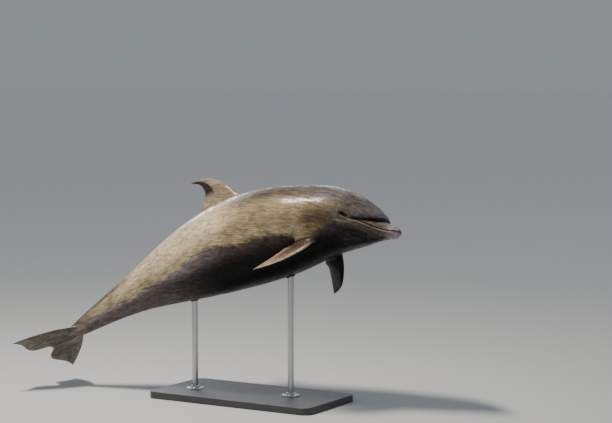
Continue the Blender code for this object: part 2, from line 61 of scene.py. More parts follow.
# Share along the body: height over the axis, depth under it, half width, squareness.
BODY = [
    (0.000, 0.0110, 0.0115, 0.0130, 2.30),
    (0.020, 0.0135, 0.0165, 0.0185, 2.30),
    (0.040, 0.0165, 0.0225, 0.0235, 2.30),
    (0.065, 0.0225, 0.0345, 0.0350, 2.20),
    (0.092, 0.0320, 0.0470, 0.0480, 2.15),
    (0.122, 0.0470, 0.0570, 0.0600, 2.10),
    (0.162, 0.0700, 0.0680, 0.0720, 2.10),
    (0.212, 0.0900, 0.0830, 0.0830, 2.10),
    (0.282, 0.1045, 0.1000, 0.0930, 2.10),
    (0.352, 0.1120, 0.1070, 0.0970, 2.10),
    (0.432, 0.1105, 0.1060, 0.0940, 2.10),
    (0.512, 0.1010, 0.0980, 0.0840, 2.10),
    (0.592, 0.0855, 0.0830, 0.0670, 2.05),
    (0.672, 0.0665, 0.0635, 0.0480, 1.95),
    (0.752, 0.0490, 0.0450, 0.0310, 1.85),
    (0.835, 0.0345, 0.0320, 0.0190, 1.80),
    (0.895, 0.0235, 0.0220, 0.0140, 1.80),
    (0.945, 0.0130, 0.0125, 0.0130, 1.90),
    (1.000, 0.0045, 0.0045, 0.0095, 2.00),
]

# The melon over the beak: share, height, depth under its widest level, half width, that level.
MELON = [
    (0.039, 0.0175, 0.0040, 0.0100, 0.0150),
    (0.046, 0.0265, 0.0080, 0.0200, 0.0200),
    (0.057, 0.0360, 0.0125, 0.0320, 0.0212),
    (0.075, 0.0470, 0.0180, 0.0430, 0.0205),
    (0.098, 0.0580, 0.0260, 0.0530, 0.0190),
    (0.132, 0.0720, 0.0400, 0.0640, 0.0145),
    (0.172, 0.0850, 0.0500, 0.0730, 0.0100),
    (0.222, 0.0920, 0.0600, 0.0780, 0.0080),
]
MELON_POWER = 2.2
MELON_SEARCH = 0.12       # no section reaches further out than this
CREASE_SHARPNESS = 20.0
BEAK_ROUND = 0.016
TAIL_ROUND = 0.012

# Mouth line on the beak's side: share, height over the axis.
MOUTH = [
    (-0.010, 0.0045), (0.004, 0.0025), (0.018, -0.0018), (0.036, -0.0030), (0.056, -0.0024),
    (0.078, -0.0002), (0.096, 0.0012), (0.112, 0.0006),
]

EYE_SHARE = 0.1235
EYE_LEVEL = 0.0078
EYE_RADIUS = 0.021
EYE_PROUD = 0.0016

# ---------------------------------------------------------------- fins
EDGE = 0.0012             # half thickness kept along a fin's edges

DORSAL_START = 0.417
DORSAL_HEIGHT = 0.100
DORSAL_REACH = 0.107
DORSAL_FLARE = 0.014
DORSAL_THICK = 0.0105
DORSAL_REAR = [(0, 0.119), (0.25, 0.091), (0.45, 0.079), (0.70, 0.0800), (0.90, 0.093), (1, 0.107)]
DORSAL_FILLET = 0.13

FLIPPER_LENGTH = 0.136
FLIPPER_CHORD = 0.051
FLIPPER_THICK = 0.0052
FLIPPER_FILLET = 0.13
FLIPPER_SHARE = 0.207
FLIPPER_ANGLE = math.radians(-41.0)
# Out from the body, forward, up: the way the blade points, and where its front edge faces.
FLIPPER_REACH = {"left": (0.78, -0.22, -0.59), "right": (0.45, -0.64, -0.62)}
FLIPPER_FRONT = {"left": (-0.27, 0.80, -0.50), "right": (0.52, 0.76, -0.39)}
FLIPPER_ROOT_TILT = {"left": math.radians(-4.0), "right": 0.0}

FLUKE_START = 0.905
FLUKE_NOTCH = 0.992
FLUKE_SPAN = 0.112
FLUKE_ROOT = 0.0095
FLUKE_THICK = 0.0068
FLUKE_DROOP = 0.004
FLUKE_FILLET = 0.20


# ---------------------------------------------------------------- soft steps and tables
def smooth_step(t):
    t = np.clip(t, 0, 1)
    return t * t * (3 - 2 * t)


def rise(value, start, width):
    """0 up to a start, 1 from a width past it."""
    return smooth_step((value - start) / width)


def fall(value, start, width):
    return 1 - rise(value, start, width)


def window(value, low, high, soft):
    """1 between two values, falling softly to 0 outside them."""
    return smooth_step((value - low) / soft + 1) * smooth_step((high - value) / soft + 1)


def bell(distance, width):
    return np.exp(-(distance / width) ** 2)


def blend(first, second, weight):
    return first * (1 - weight) + second * weight


def unit(vector):
    vector = np.asarray(vector, float)
    return vector / np.linalg.norm(vector, axis=-1, keepdims=True)


def smooth_table(table):
    """Natural cubic spline through the rows of a table, keyed by its first column."""
    rows = np.array(table, float)
    x, y = rows[:, 0], rows[:, 1:]
    h, n = np.diff(x), len(x)
    system, right = np.eye(n), np.zeros_like(y)
    for i in range(1, n - 1):
        system[i, i - 1:i + 2] = h[i - 1], 2 * (h[i - 1] + h[i]), h[i]
        right[i] = 6 * ((y[i + 1] - y[i]) / h[i] - (y[i] - y[i - 1]) / h[i - 1])
    m = np.linalg.solve(system, right)

    def at(value):
        t = np.clip(np.atleast_1d(np.asarray(value, float)), x[0], x[-1])
        i = np.clip(np.searchsorted(x, t) - 1, 0, n - 2)
        d, u, v = (part[:, None] for part in (h[i], x[i + 1] - t, t - x[i]))
        bend = (m[i] * u ** 3 + m[i + 1] * v ** 3) / (6 * d)
        return bend + (y[i] / d - m[i] * d / 6) * u + (y[i + 1] / d - m[i + 1] * d / 6) * v

    return at


# ---------------------------------------------------------------- the smooth form
body_at, melon_at, dorsal_rear_at = (smooth_table(table) for table in (BODY, MELON, DORSAL_REAR))
AXIS_SHARE = np.linspace(0, PITCH[-1][0], 1061)
AXIS_PITCH = np.radians(smooth_table(PITCH)(AXIS_SHARE)[:, 0])


def running_sum(rate):
    """Integral of a rate along the axis, from the beak's tip."""
    steps = (rate[1:] + rate[:-1]) / 2 * np.diff(AXIS_SHARE)
    return np.concatenate([[0], np.cumsum(steps)])


AXIS_X, AXIS_Z = running_sum(-np.cos(AXIS_PITCH)), running_sum(-np.sin(AXIS_PITCH))
COS_BANK, SIN_BANK = math.cos(BANK), math.sin(BANK)


def axis_at(share):
    """Pitch of the axis and its place forward and up, at shares along it."""
    return (np.interp(share, AXIS_SHARE, row) for row in (AXIS_PITCH, AXIS_X, AXIS_Z))


def place(share, side, height):
    """World points from shares along the axis, offsets to the left and heights over the axis."""
    share, side, height = np.broadcast_arrays(np.asarray(share, float), side, height)
    pitch, axis_x, axis_z = axis_at(share)
    x = (axis_x - np.sin(pitch) * height) * BODY_LENGTH
    y = side * BODY_LENGTH
    z = (axis_z + np.cos(pitch) * height) * BODY_LENGTH
    return np.stack([x, y * COS_BANK + z * SIN_BANK, z * COS_BANK - y * SIN_BANK], -1) + BEAK_TIP


def end_round(reach):
    """Quarter-circle growth of the sections from 0 at a rounded end to 1."""
    return np.sqrt(np.clip(1 - (1 - np.clip(reach, 0, 1)) ** 2, 1e-6, 1))


def outline(share, angle):
    """Radius of the section at a share, in a direction: 0 is the left side, 90 degrees the back."""
    share, angle = np.broadcast_arrays(np.asarray(share, float), np.asarray(angle, float))
    s, across, up = share.ravel(), np.cos(angle.ravel()), np.sin(angle.ravel())
    top, low, half, power = body_at(s).T
    grown = end_round(s / BEAK_ROUND) * end_round((1 - s) / TAIL_ROUND)
    wide, tall = half * grown, np.where(up > 0, top, low) * grown
    radius = (np.abs(across / wide) ** power + np.abs(up / tall) ** power) ** (-1 / power)
    melon = (s > MELON[0][0]) & (s < MELON[-1][0])
    if melon.any():
        radius[melon] = melon_outline(*(part[melon] for part in (s, across, up, wide, tall, power)))
    return radius.reshape(share.shape)


def melon_outline(s, across, up, wide, tall, power):
    """Radius of the sections where the melon's lobe swells out of the head, softly joined to it."""
    melon_top, melon_low, melon_half, level = melon_at(s).T

    def outside(radius):
        y, z = radius * across, radius * up
        body = np.abs(y / wide) ** power + np.abs(z / tall) ** power - 1
        over = z - level
        height = np.where(over > 0, melon_top - level, melon_low)
        melon = np.abs(y / melon_half) ** MELON_POWER + np.abs(over / height) ** MELON_POWER - 1
        return -np.logaddexp(-CREASE_SHARPNESS * body, -CREASE_SHARPNESS * melon)

    inner, outer = np.zeros_like(s), np.full_like(s, MELON_SEARCH)
    found = np.zeros(s.shape, bool)
    for radius in np.linspace(MELON_SEARCH, 0.0, 61)[1:]:
        crossed = (outside(np.full_like(s, radius)) < 0) & ~found
        inner[crossed] = radius
        found |= crossed
        outer[~found] = radius
    for _ in range(22):
        middle = (inner + outer) / 2
        within = outside(middle) < 0
        inner, outer = np.where(within, middle, inner), np.where(within, outer, middle)
    return (inner + outer) / 2


def surface(share, angle, over=0.0):
    """World points on the smooth body, or at a height over it."""
    radius = outline(share, angle)
    return place(share, radius * np.cos(angle), radius * np.sin(angle) + over)


def outward(share, angle, step=0.0008, turn=0.02):
    """Unit normal of the body's surface."""
    along = surface(share + step, angle) - surface(share - step, angle)
    around = surface(share, angle + turn) - surface(share, angle - turn)
    return unit(np.cross(along, around))


def aerofoil(c):
    """Half thickness along a chord, 0 at the front edge, as a share of the greatest."""
    c = np.clip(c, 0, 1)
    curve = 0.2969 * np.sqrt(c) - 0.1260 * c - 0.3516 * c ** 2 + 0.2843 * c ** 3 - 0.1036 * c ** 4
    return curve * 10


def section_place(tau, thick):
    """Place on the chord (0 front, 1 rear) and signed half thickness, going round a section."""
    c = (1 - np.cos(tau)) / 2
    edge = EDGE / BODY_LENGTH * np.sqrt(1 - (2 * c - 1) ** 8)
    return c, np.sign(np.sin(tau)) * (thick * aerofoil(c) + edge)


def dorsal_section(v, tau):
    """Share, offset and height over the back of the dorsal fin's skin, at v of its height."""
    c, half = section_place(tau, DORSAL_THICK * (1 - v) ** 0.8)
    front = DORSAL_START + DORSAL_REACH * (0.25 * v + 0.75 * (1 - np.sqrt(1 - v ** 2)))
    front -= DORSAL_FLARE * (1 - v) ** 3
    rear = DORSAL_START + dorsal_rear_at(v)[0, 0]
    return np.stack([front + (rear - front) * c, half, DORSAL_HEIGHT * v + 0 * c], -1)


def dorsal_place(points):
    """World points from shares, offsets and heights over the back."""
    share, side, height = np.moveaxis(points, -1, 0)
    back = outline(share, np.full(share.shape, math.pi / 2))
    return surface(share, math.pi / 2 - np.arcsin(np.clip(side / back, -0.9, 0.9)), height)


def fluke_section(side, v, tau):
    """Share, offset and height of a fluke's skin, at v of its span; side is 1 left, -1 right."""
    c, half = section_place(tau, FLUKE_THICK * (1 - v) ** 0.9)
    front = FLUKE_START + 0.060 * v + 0.060 * v ** 2.2
    swell = math.sin(math.pi * v ** 0.7) ** 1.3 if 0 < v < 1 else 0.0
    rear = FLUKE_NOTCH + 0.040 * swell * (1 - v) + 0.033 * v
    reach = side * (FLUKE_ROOT + FLUKE_SPAN * v)
    return np.stack([front + (rear - front) * c, reach + 0 * c, half - FLUKE_DROOP * v ** 2], -1)


def local_directions(share, side, step=0.001):
    """Unit vectors out to a side, forward and up, in the world."""
    origin = place(share, 0.0, 0.0)
    moved = (place(share, side * step, 0.0), place(share - step, 0.0, 0.0), place(share, 0.0, step))
    return np.array([unit(point - origin) for point in moved])


def flipper_edges(v):
    """Front and rear edges along the chord's direction, in shares, at v of the blade's length."""
    front = 0.5 + 0.10 * math.sin(math.pi * v) - 1.15 * v ** 2.4
    rear = -0.5 - 0.15 * v - 0.14 * math.sin(math.pi * v ** 0.75) * (1 - v)
    return FLIPPER_CHORD * front, FLIPPER_CHORD * rear


def side_angle(name, angle):
    """Angle round the body of a place so far above the middle of the left or right side."""
    return angle if name == "left" else math.pi - angle


def flipper_section(name, v, tau):
    """World points round a flipper's skin: its root follows the body, its blade hangs free."""
    side, tilt = (1 if name == "left" else -1), FLIPPER_ROOT_TILT[name]
    c, half = section_place(tau, FLIPPER_THICK * (1 - v) ** 0.8)
    axes = local_directions(FLIPPER_SHARE, side)
    reach = unit(np.array(FLIPPER_REACH[name]) @ axes)
    chord = np.array(FLIPPER_FRONT[name]) @ axes
    chord = unit(chord - reach * (chord @ reach))
    seat = FLIPPER_SHARE, side_angle(name, FLIPPER_ANGLE)
    root, normal = surface(*seat), outward(*seat)
    ahead = unit(axes[1] - normal * (axes[1] @ normal))
    upward = unit(np.cross(ahead, normal)) * side
    root_chord = ahead * math.cos(tilt) + upward * math.sin(tilt)
    free = rise(v, 0, 0.5)
    here = unit(blend(root_chord, chord, free))
    first, last = flipper_edges(0.0)
    start = first + (last - first) * c
    turn = start * math.sin(tilt) / outline(*seat) * side
    on_skin = surface(FLIPPER_SHARE - start * math.cos(tilt), seat[1] + turn)
    seated = on_skin - root - root_chord * start[:, None] * BODY_LENGTH
    front, rear = flipper_edges(v)
    along = front + (rear - front) * c
    face = unit(np.cross(here, reach)) * side
    blade = reach * FLIPPER_LENGTH * v + here * along[:, None] + face * half[:, None]
    return root + BODY_LENGTH * blade + seated * (1 - free)


# ---------------------------------------------------------------- the skin's rings and columns
SKIN_COLUMNS = 192
SKIN_ANGLES = -math.pi / 2 + 2 * math.pi * np.arange(SKIN_COLUMNS) / SKIN_COLUMNS
HEAD_STEP = 0.0036        # between rings on the head
BODY_STEP = 0.0114        # between rings on the body
NOSE_RINGS = 20
SIDE_CROWDING = 0.5       # how much closer the columns are on the head's sides

# First share, last share, middle angle, columns to each side of the seats that the fins grow from.
FLIPPER_SEATS = {
    "left": (0.170, 0.244, math.radians(-45), 10),
    "right": (0.170, 0.244, math.radians(225), 10),
}
DORSAL_SEAT = (0.388, 0.543, math.radians(90), 10)
FLUKE_SEATS = {"left": (0.893, 0.994, 0.0, 24), "right": (0.893, 0.994, math.pi, 24)}
FILLET_ROWS = 12
BLADE_ROWS = 34

# Fold under the melon, darkened with painted shade, on the head's side: share, height over the axis.
CREASE = [
    (0.0395, 0.0203), (0.0446, 0.0180), (0.0511, 0.0150), (0.0611, 0.0120), (0.0736, 0.0086),
    (0.0862, 0.0056), (0.0987, 0.0038), (0.1110, 0.0030),
]
# Swell of flesh that runs on behind the mouth's corner.
JOWL = [(0.085, -0.0020), (0.100, -0.0040), (0.119, -0.0094), (0.131, -0.0083), (0.145, -0.0070)]
# Where the lit pale flank turns to the painted shade of the underside: a painted shadow line.
FLANK_SHADOW_LINE = [
    (0.000, -0.0130), (0.060, -0.0125), (0.100, -0.0080), (0.134, -0.0111), (0.149, -0.0155),
    (0.160, -0.0245), (0.172, -0.0295), (0.189, -0.0430), (0.200, -0.0515), (0.224, -0.0520),
    (0.252, -0.0466), (0.294, -0.0352), (0.374, -0.0345), (0.444, -0.0275), (0.500, -0.0250),
    (0.542, -0.0265), (0.585, -0.0320), (0.640, -0.0310), (0.750, -0.0150), (1.060, 0.0000),
]
# Shallow groove that runs up and forward from over the eye.
GROOVE = [
    (0.076, 0.0482), (0.084, 0.0472), (0.096, 0.0425), (0.104, 0.0339), (0.114, 0.0275), (0.122, 0.0235),
]
MOUTH_CORNER = 0.110
# First share, last share and depth in metres of the slits on the belly's midline.
BELLY_SLITS = [(0.466, 0.470, 0.0040), (0.600, 0.652, 0.0060), (0.668, 0.672, 0.0040)]

EYE_OPENING = (0.0182, 0.0080, 0.0064)   # half length, upper and lower half height, in metres
EYE_RINGS = 11
EYE_COLUMNS = 6
LID_ROWS = 14
BLOWHOLE_SHARE = 0.137
BLOWHOLE_SLIT = (0.021, 0.0011)          # half width and half opening, in metres
BLOWHOLE_BEND = 11.0
BLOWHOLE_DEPTH = 0.014
BLOWHOLE_PATCH = (9, 5)   # rings and columns opened to each side of its middle
BLOWHOLE_ROWS = 12
LID_GAP = 0.0003
SOCKET_GAP = 0.0012
RELAX_ROUNDS = 14
RELAX_PACE = 0.6
TAIL_TUCK = 0.0060        # how far the skin draws in at the flukes' notch
HEAD_END = 0.148          # share where the rings begin to stand wider apart
LINE_STEP = 0.002         # share to each side that a line's slope is read over
EYE_RELIEF = (0.034, 0.020)   # half length and half height of the swell round the eye, in metres
UNTURNED = 0.56           # greatest sine of an angle over the side that level_angle looks at
SIDE_LINES = {name: smooth_table(table) for name, table in {
    "mouth": MOUTH, "crease": CREASE, "jowl": JOWL, "flank": FLANK_SHADOW_LINE, "groove": GROOVE}.items()}


def gap(line, share, height):
    """Metres above a line on the body's side, measured across the line."""
    shape, share, height = np.shape(share), np.ravel(share), np.ravel(height)
    level, before, after = (SIDE_LINES[line](share + step)[:, 0] for step in (0, -LINE_STEP, LINE_STEP))
    slope = (after - before) / (2 * LINE_STEP)
    return ((height - level) * BODY_LENGTH / np.sqrt(1 + slope ** 2)).reshape(shape)


def eye_offsets(share, height):
    """Metres ahead of and above the middle of the eye."""
    return (EYE_SHARE - share) * BODY_LENGTH, (height - EYE_LEVEL) * BODY_LENGTH


def mouth_folds(share, height):
    mouth = gap("mouth", share, height)
    groove = -0.0046 * bell(mouth, 0.0017) - 0.0016 * bell(mouth, 0.0045)
    lips = 0.0024 * bell(mouth + 0.0100, 0.0062) + 0.0010 * bell(mouth - 0.0065, 0.0040)
    return window(share, -1, MOUTH_CORNER - 0.004, 0.010) * (groove + lips)


def melon_folds(share, height):
    """The fold under the melon, the swells over and behind it, and the groove."""
    crease = gap("crease", share, height)
    fold = -0.0075 * bell(crease, 0.0070) + 0.0022 * bell(crease - 0.0120, 0.0080)
    swell = 0.0014 * window(share, 0.100, 0.128, 0.010) * bell(gap("jowl", share, height), 0.0050)
    swell = swell + 0.0030 * window(share, 0.055, 0.098, 0.014) * bell(crease - 0.040, 0.022)
    swell = swell - 0.0018 * window(share, 0.086, 0.112, 0.010) * bell(gap("groove", share, height), 0.011)
    return window(share, 0.0385, 0.100, 0.012) * fold + swell


def eye_folds(share, height):
    ahead, above = eye_offsets(share, height)
    bulge = 0.0030 * bell(np.hypot(ahead / EYE_RELIEF[0], above / EYE_RELIEF[1]), 1.0)
    brow, bag = above - 0.0155 + 5.0 * ahead ** 2, above + 0.0125 - 4.0 * ahead ** 2
    reach = window(ahead, -0.020, 0.020, 0.010)
    return bulge - reach * (0.0012 * bell(brow, 0.0022) + 0.0009 * bell(bag, 0.0020))


def blowhole_folds(share, side, height):
    ahead, across = (BLOWHOLE_SHARE - share) * BODY_LENGTH, side * BODY_LENGTH
    past = np.maximum(np.abs(across) - BLOWHOLE_SLIT[0], 0)
    distance = np.hypot(ahead - BLOWHOLE_BEND * across ** 2, past)
    folds = 0.0020 * bell(distance - 0.0085, 0.0055) - 0.0022 * bell(distance, 0.0040)
    return np.where(height > 0, folds, 0.0)


def belly_folds(share, side, height):
    midline = np.where(height < 0, side * BODY_LENGTH, 1.0)
    folds = np.zeros(np.shape(share))
    for low, high, depth in BELLY_SLITS:
        folds -= depth * bell(midline, 0.0050) * window(share, low, high, 0.004)
    return folds


def relief(share, side, height):
    """Metres that the skin's folds stand over the smooth form."""
    folds = mouth_folds(share, height) + melon_folds(share, height) + eye_folds(share, height)
    return folds + blowhole_folds(share, side, height) + belly_folds(share, side, height)


def skin_places(share, angle):
    """Points of the finished skin, with their share, side and height as fields."""
    radius = outline(share, angle)
    side, height = radius * np.cos(angle), radius * np.sin(angle)
    lift = (relief(share, side, height) - TAIL_TUCK * rise(share, 0.955, 0.045))[..., None]
    fields = {"share": share, "side": side, "height": height}
    return place(share, side, height) + outward(share, angle) * lift, fields


def straightened(points):
    """Metres behind the beak's tip, to the left and over the axis, as if the body lay straight."""
    moved = points - BEAK_TIP
    side = moved[:, 1] * COS_BANK - moved[:, 2] * SIN_BANK
    over = moved[:, 1] * SIN_BANK + moved[:, 2] * COS_BANK

    def offsets(share):
        pitch, axis_x, axis_z = axis_at(share)
        x, z = moved[:, 0] - axis_x * BODY_LENGTH, over - axis_z * BODY_LENGTH
        return -x * np.cos(pitch) - z * np.sin(pitch), z * np.cos(pitch) - x * np.sin(pitch)

    share = np.full(len(points), 0.5)
    for _ in range(12):
        share = np.clip(share + 0.8 * offsets(share)[0] / BODY_LENGTH, 0.0, 1.0)
    behind, height = offsets(share)
    return np.stack([share * BODY_LENGTH + behind, side, height], -1)


def ring_shares():
    """Shares of the skin's rings: close on the beak's tip and the head, wider on the body."""
    quarter = np.linspace(0, math.pi / 2, NOSE_RINGS + 1)[1:]
    shares = list(BEAK_ROUND * (1 - np.cos(quarter)))
    while shares[-1] < 1 - 1.2 * BODY_STEP / BODY_LENGTH:
        step = HEAD_STEP + (BODY_STEP - HEAD_STEP) * rise(shares[-1], HEAD_END, 0.05)
        shares.append(shares[-1] + step / BODY_LENGTH)
    return np.array(shares + [(shares[-1] + 3) / 4])


def level_angle(share, level):
    """Angle over the left side at which the body is at a height over the axis."""
    angle = np.zeros(np.shape(share))
    for _ in range(6):
        angle = np.arcsin(np.clip(level / outline(share, angle), -UNTURNED, UNTURNED))
    return angle


def skin_angles(shares):
    """Angles of each ring's columns: crowded on the head's sides, one of them along the mouth."""
    fade = fall(shares, 0.132, 0.032)
    angle = SKIN_ANGLES[None, :] - 0.5 * SIDE_CROWDING * fade[:, None] * np.sin(2 * SKIN_ANGLES)
    lift = level_angle(shares, SIDE_LINES["mouth"](shares)[:, 0]) * fade
    across = np.cos(SKIN_ANGLES)[None, :]
    return angle + lift[:, None] * across * np.abs(across)


# Gentle unevenness of the flesh: how many waves, their lengths and their height, in metres.
SWELL_WAVES = 40
SWELL_LENGTHS = (0.045, 0.16)
SWELL_HEIGHT = 0.00042


def swell(points):
    """Metres that the flesh's gentle waves stand over the smooth form."""
    draw = np.random.RandomState(11)
    total = np.zeros(len(points))
    for _ in range(SWELL_WAVES):
        length = draw.uniform(*SWELL_LENGTHS)
        direction = unit(draw.normal(size=3) * (0.6, 1.0, 1.0))
        phase = draw.uniform(0, 2 * math.pi)
        total += length * np.sin(2 * math.pi * (points @ direction) / length + phase)
    return SWELL_HEIGHT * total / np.std(total)


# ---------------------------------------------------------------- the skin's mesh
def round_trip(count, turn=1):
    """Angles of the points of a loop, going round once."""
    return turn * 2 * math.pi * np.arange(count) / count


def nearest(values, target):
    return int(np.argmin(np.abs(values - target)))


def closed_mesh(name, points, faces):
    """A smooth mesh with its normals facing out."""
    mesh = bpy.data.meshes.new(name)
    mesh.from_pydata(points.tolist(), [], faces)
    shell = bmesh.new()
    shell.from_mesh(mesh)
    bmesh.ops.recalc_face_normals(shell, faces=shell.faces)
    shell.to_mesh(mesh)
    shell.free()
    mesh.shade_smooth()
    return mesh


def move_points(mesh, points):
    mesh.vertices.foreach_set("co", points.ravel())
    mesh.update()


def relaxed(mesh, points, weight):
    """Points drawn towards the middle of their neighbours, as far as their weight lets them."""
    ends = np.zeros((len(mesh.edges), 2), int)
    mesh.edges.foreach_get("vertices", ends.ravel())
    neighbours = np.bincount(ends.ravel(), minlength=len(points))[:, None]
    for _ in range(RELAX_ROUNDS):
        total = np.zeros_like(points)
        np.add.at(total, ends[:, 0], points[ends[:, 1]])
        np.add.at(total, ends[:, 1], points[ends[:, 0]])
        points = points + (total / neighbours - points) * weight[:, None] * RELAX_PACE
    return points


def patch_rim(first, last, low, high):
    """Rings and columns round a patch, from the middle of its front edge, high side first."""
    middle = (low + high) // 2
    rim = [(first, j) for j in range(middle, high)] + [(i, high) for i in range(first, last)]
    rim += [(last, j) for j in range(high, low, -1)] + [(i, low) for i in range(last, first, -1)]
    rim += [(first, j) for j in range(low, middle)]
    return tuple(np.array(rim).T)


def fin_stations(fillet):
    """(fillet progress, share of the fin's length) of each loop between its rim and its tip."""
    rows = [row / FILLET_ROWS for row in range(1, FILLET_ROWS + 1)]
    stations = [(progress, fillet * progress ** 2) for progress in rows]
    for row in range(1, BLADE_ROWS):
        reach = math.sin(math.pi / 2 * row / BLADE_ROWS)
        stations.append((1.0, fillet + (1 - fillet) * reach))
    return stations


class Body:
    """The skin as it grows: a grid of rings and columns, its open patches and what fills them.

    Each vertex has fields that its markings need.
    """

    FIELDS = ("share", "side", "height", "dorsal", "near", "far", "fluke", "reach", "chord", "lid")

    def __init__(self):
        self.count, self.points, self.faces = 0, [], []
        self.fields = {name: [] for name in self.FIELDS}
        self.shares = ring_shares()
        self.angles = skin_angles(self.shares)
        points, self.grid = skin_places(np.repeat(self.shares[:, None], SKIN_COLUMNS, 1), self.angles)
        self.index = self.add(points, **self.grid).reshape(self.angles.shape)
        self.open = np.zeros(self.angles.shape, bool)

    def add(self, points, **fields):
        points = np.asarray(points, float).reshape(-1, 3)
        self.points.append(points)
        for name in self.FIELDS:
            value = np.broadcast_to(np.ravel(fields.get(name, 0.0)), (len(points),))
            self.fields[name].append(np.array(value, float))
        self.count += len(points)
        return np.arange(self.count - len(points), self.count)

    def extend(self, loop, points, **fields):
        """A new loop, joined to the last one."""
        following = self.add(points, **fields)
        corners = (loop, np.roll(loop, -1), np.roll(following, -1), following)
        self.faces.extend(zip(*(c.tolist() for c in corners)))
        return following

    def cap(self, loop, point, **fields):
        """A fan of faces from a loop to one new point."""
        tip = int(self.add(point, **fields)[0])
        self.faces.extend((a, b, tip) for a, b in zip(loop.tolist(), np.roll(loop, -1).tolist()))

    def patch(self, ring, column, rings, columns):
        """Open a patch round a place of the grid, and give its rim."""
        return self.open_patch(ring - rings, ring + rings, column - columns, column + columns)

    def open_patch(self, first, last, low, high):
        self.open[first:last, low:high] = True
        return patch_rim(first, last, low, high)

    def seat(self, first_share, last_share, middle, reach):
        """Open the patch that a fin grows from, and give its rim."""
        column = int(round((middle + math.pi / 2) / (2 * math.pi) * SKIN_COLUMNS))
        first, last = nearest(self.shares, first_share), nearest(self.shares, last_share)
        return self.open_patch(first, last, column - reach, column + reach)

    def grow(self, rim, spread_from, section, to_world, fillet, turn, kind):
        """Loops of a fin from the rim of its patch out to its tip."""
        loop = self.index[rim]
        tau = round_trip(len(loop), turn)
        spread = spread_from - section(0.0, tau)
        fields = {name: self.grid[name][rim] for name in ("share", "side", "height")}
        chord = np.sign(np.sin(tau)) * (1 - np.cos(tau)) / 2
        for progress, v in fin_stations(fillet):
            points = to_world(section(v, tau) + spread * (1 - progress) ** 2)
            grown = rise(progress, 0.30, 0.60)
            loop = self.extend(loop, points, reach=v, chord=chord, **{kind: grown}, **fields)
        tip = to_world(section(1.0, np.array([math.pi / 2])))
        self.cap(loop, tip, reach=1.0, share=float(fields["share"].mean()), **{kind: 1.0})

    def narrow(self, rim, rows, share_to, across, across_to, angle_of):
        """Loops over the skin from a patch's rim in to an opening."""
        loop = self.index[rim]
        for row in range(1, rows + 1):
            nearer = 1 - (1 - row / rows) ** 1.5
            share = blend(self.grid["share"][rim], share_to, nearer)
            points, fields = skin_places(share, angle_of(share, blend(across[rim], across_to, nearer)))
            loop = self.extend(loop, points, **fields)
        return loop, points, fields

    def close(self):
        """The faces of the grid that no patch has opened, and a fan at each end."""
        rings = len(self.shares)
        for i in range(rings - 1):
            for j in np.flatnonzero(~self.open[i]):
                k = (j + 1) % SKIN_COLUMNS
                a, b = self.index[i], self.index[i + 1]
                self.faces.append((int(a[j]), int(b[j]), int(b[k]), int(a[k])))
        for ring, share in ((0, 0.0), (rings - 1, 1.0)):
            self.cap(self.index[ring], place(share, 0.0, 0.0), share=share)

    def build(self):
        """The mesh, without the vertices that no face uses, and the fields of those it keeps."""
        used = np.zeros(self.count, bool)
        used[[corner for face in self.faces for corner in face]] = True
        renumber = np.cumsum(used) - 1
        faces = [tuple(int(renumber[corner]) for corner in face) for face in self.faces]
        points = np.concatenate(self.points)[used]
        fields = {name: np.concatenate(rows)[used] for name, rows in self.fields.items()}
        mesh = closed_mesh("skin", points, faces)
        at_flukes = rise(fields["share"], 0.897, 0.015) * fall(fields["reach"], 0.08, 0.14)
        points = relaxed(mesh, points, at_flukes)
        move_points(mesh, points)
        normals = np.zeros((len(points), 3))
        mesh.vertex_normals.foreach_get("vector", normals.ravel())
        calm = (1 - fields["lid"]) * (1 - 0.7 * np.clip(fields["near"] + fields["far"], 0, 1))
        points = points + normals * (swell(points) * calm)[:, None]
        move_points(mesh, points)
        set_attribute(mesh, "flow", straightened(points), "FLOAT_VECTOR", "vector")
        return mesh, fields


def grow_fins(body):
    rim = body.seat(*DORSAL_SEAT)
    share, side = (body.grid[name][rim] for name in ("share", "side"))
    start = np.stack([share, side, 0 * share], -1)
    body.grow(rim, start, dorsal_section, dorsal_place, DORSAL_FILLET, -1, "dorsal")
    for name, turn in SIDES.items():
        rim = body.seat(*FLIPPER_SEATS[name])
        start = surface(body.grid["share"][rim], body.angles[rim])
        kind = "near" if name == NEAR_SIDE else "far"
        body.grow(rim, start, partial(flipper_section, name), np.asarray, FLIPPER_FILLET, turn, kind)
    for name, turn in SIDES.items():
        rim = body.seat(*FLUKE_SEATS[name])
        start = np.stack([body.grid[field][rim] for field in ("share", "side", "height")], -1)
        section = partial(fluke_section, turn)
        body.grow(rim, start, section, spine_place, FLUKE_FILLET, turn, "fluke")


def spine_place(points):
    return place(*np.moveaxis(points, -1, 0))


def eye_centre(name):
    """Centre of an eyeball and the way it looks, as in the solids."""
    angle = side_angle(name, level_angle(EYE_SHARE, EYE_LEVEL))
    normal = outward(EYE_SHARE, angle)
    return surface(EYE_SHARE, angle) - normal * (EYE_RADIUS - EYE_PROUD), normal


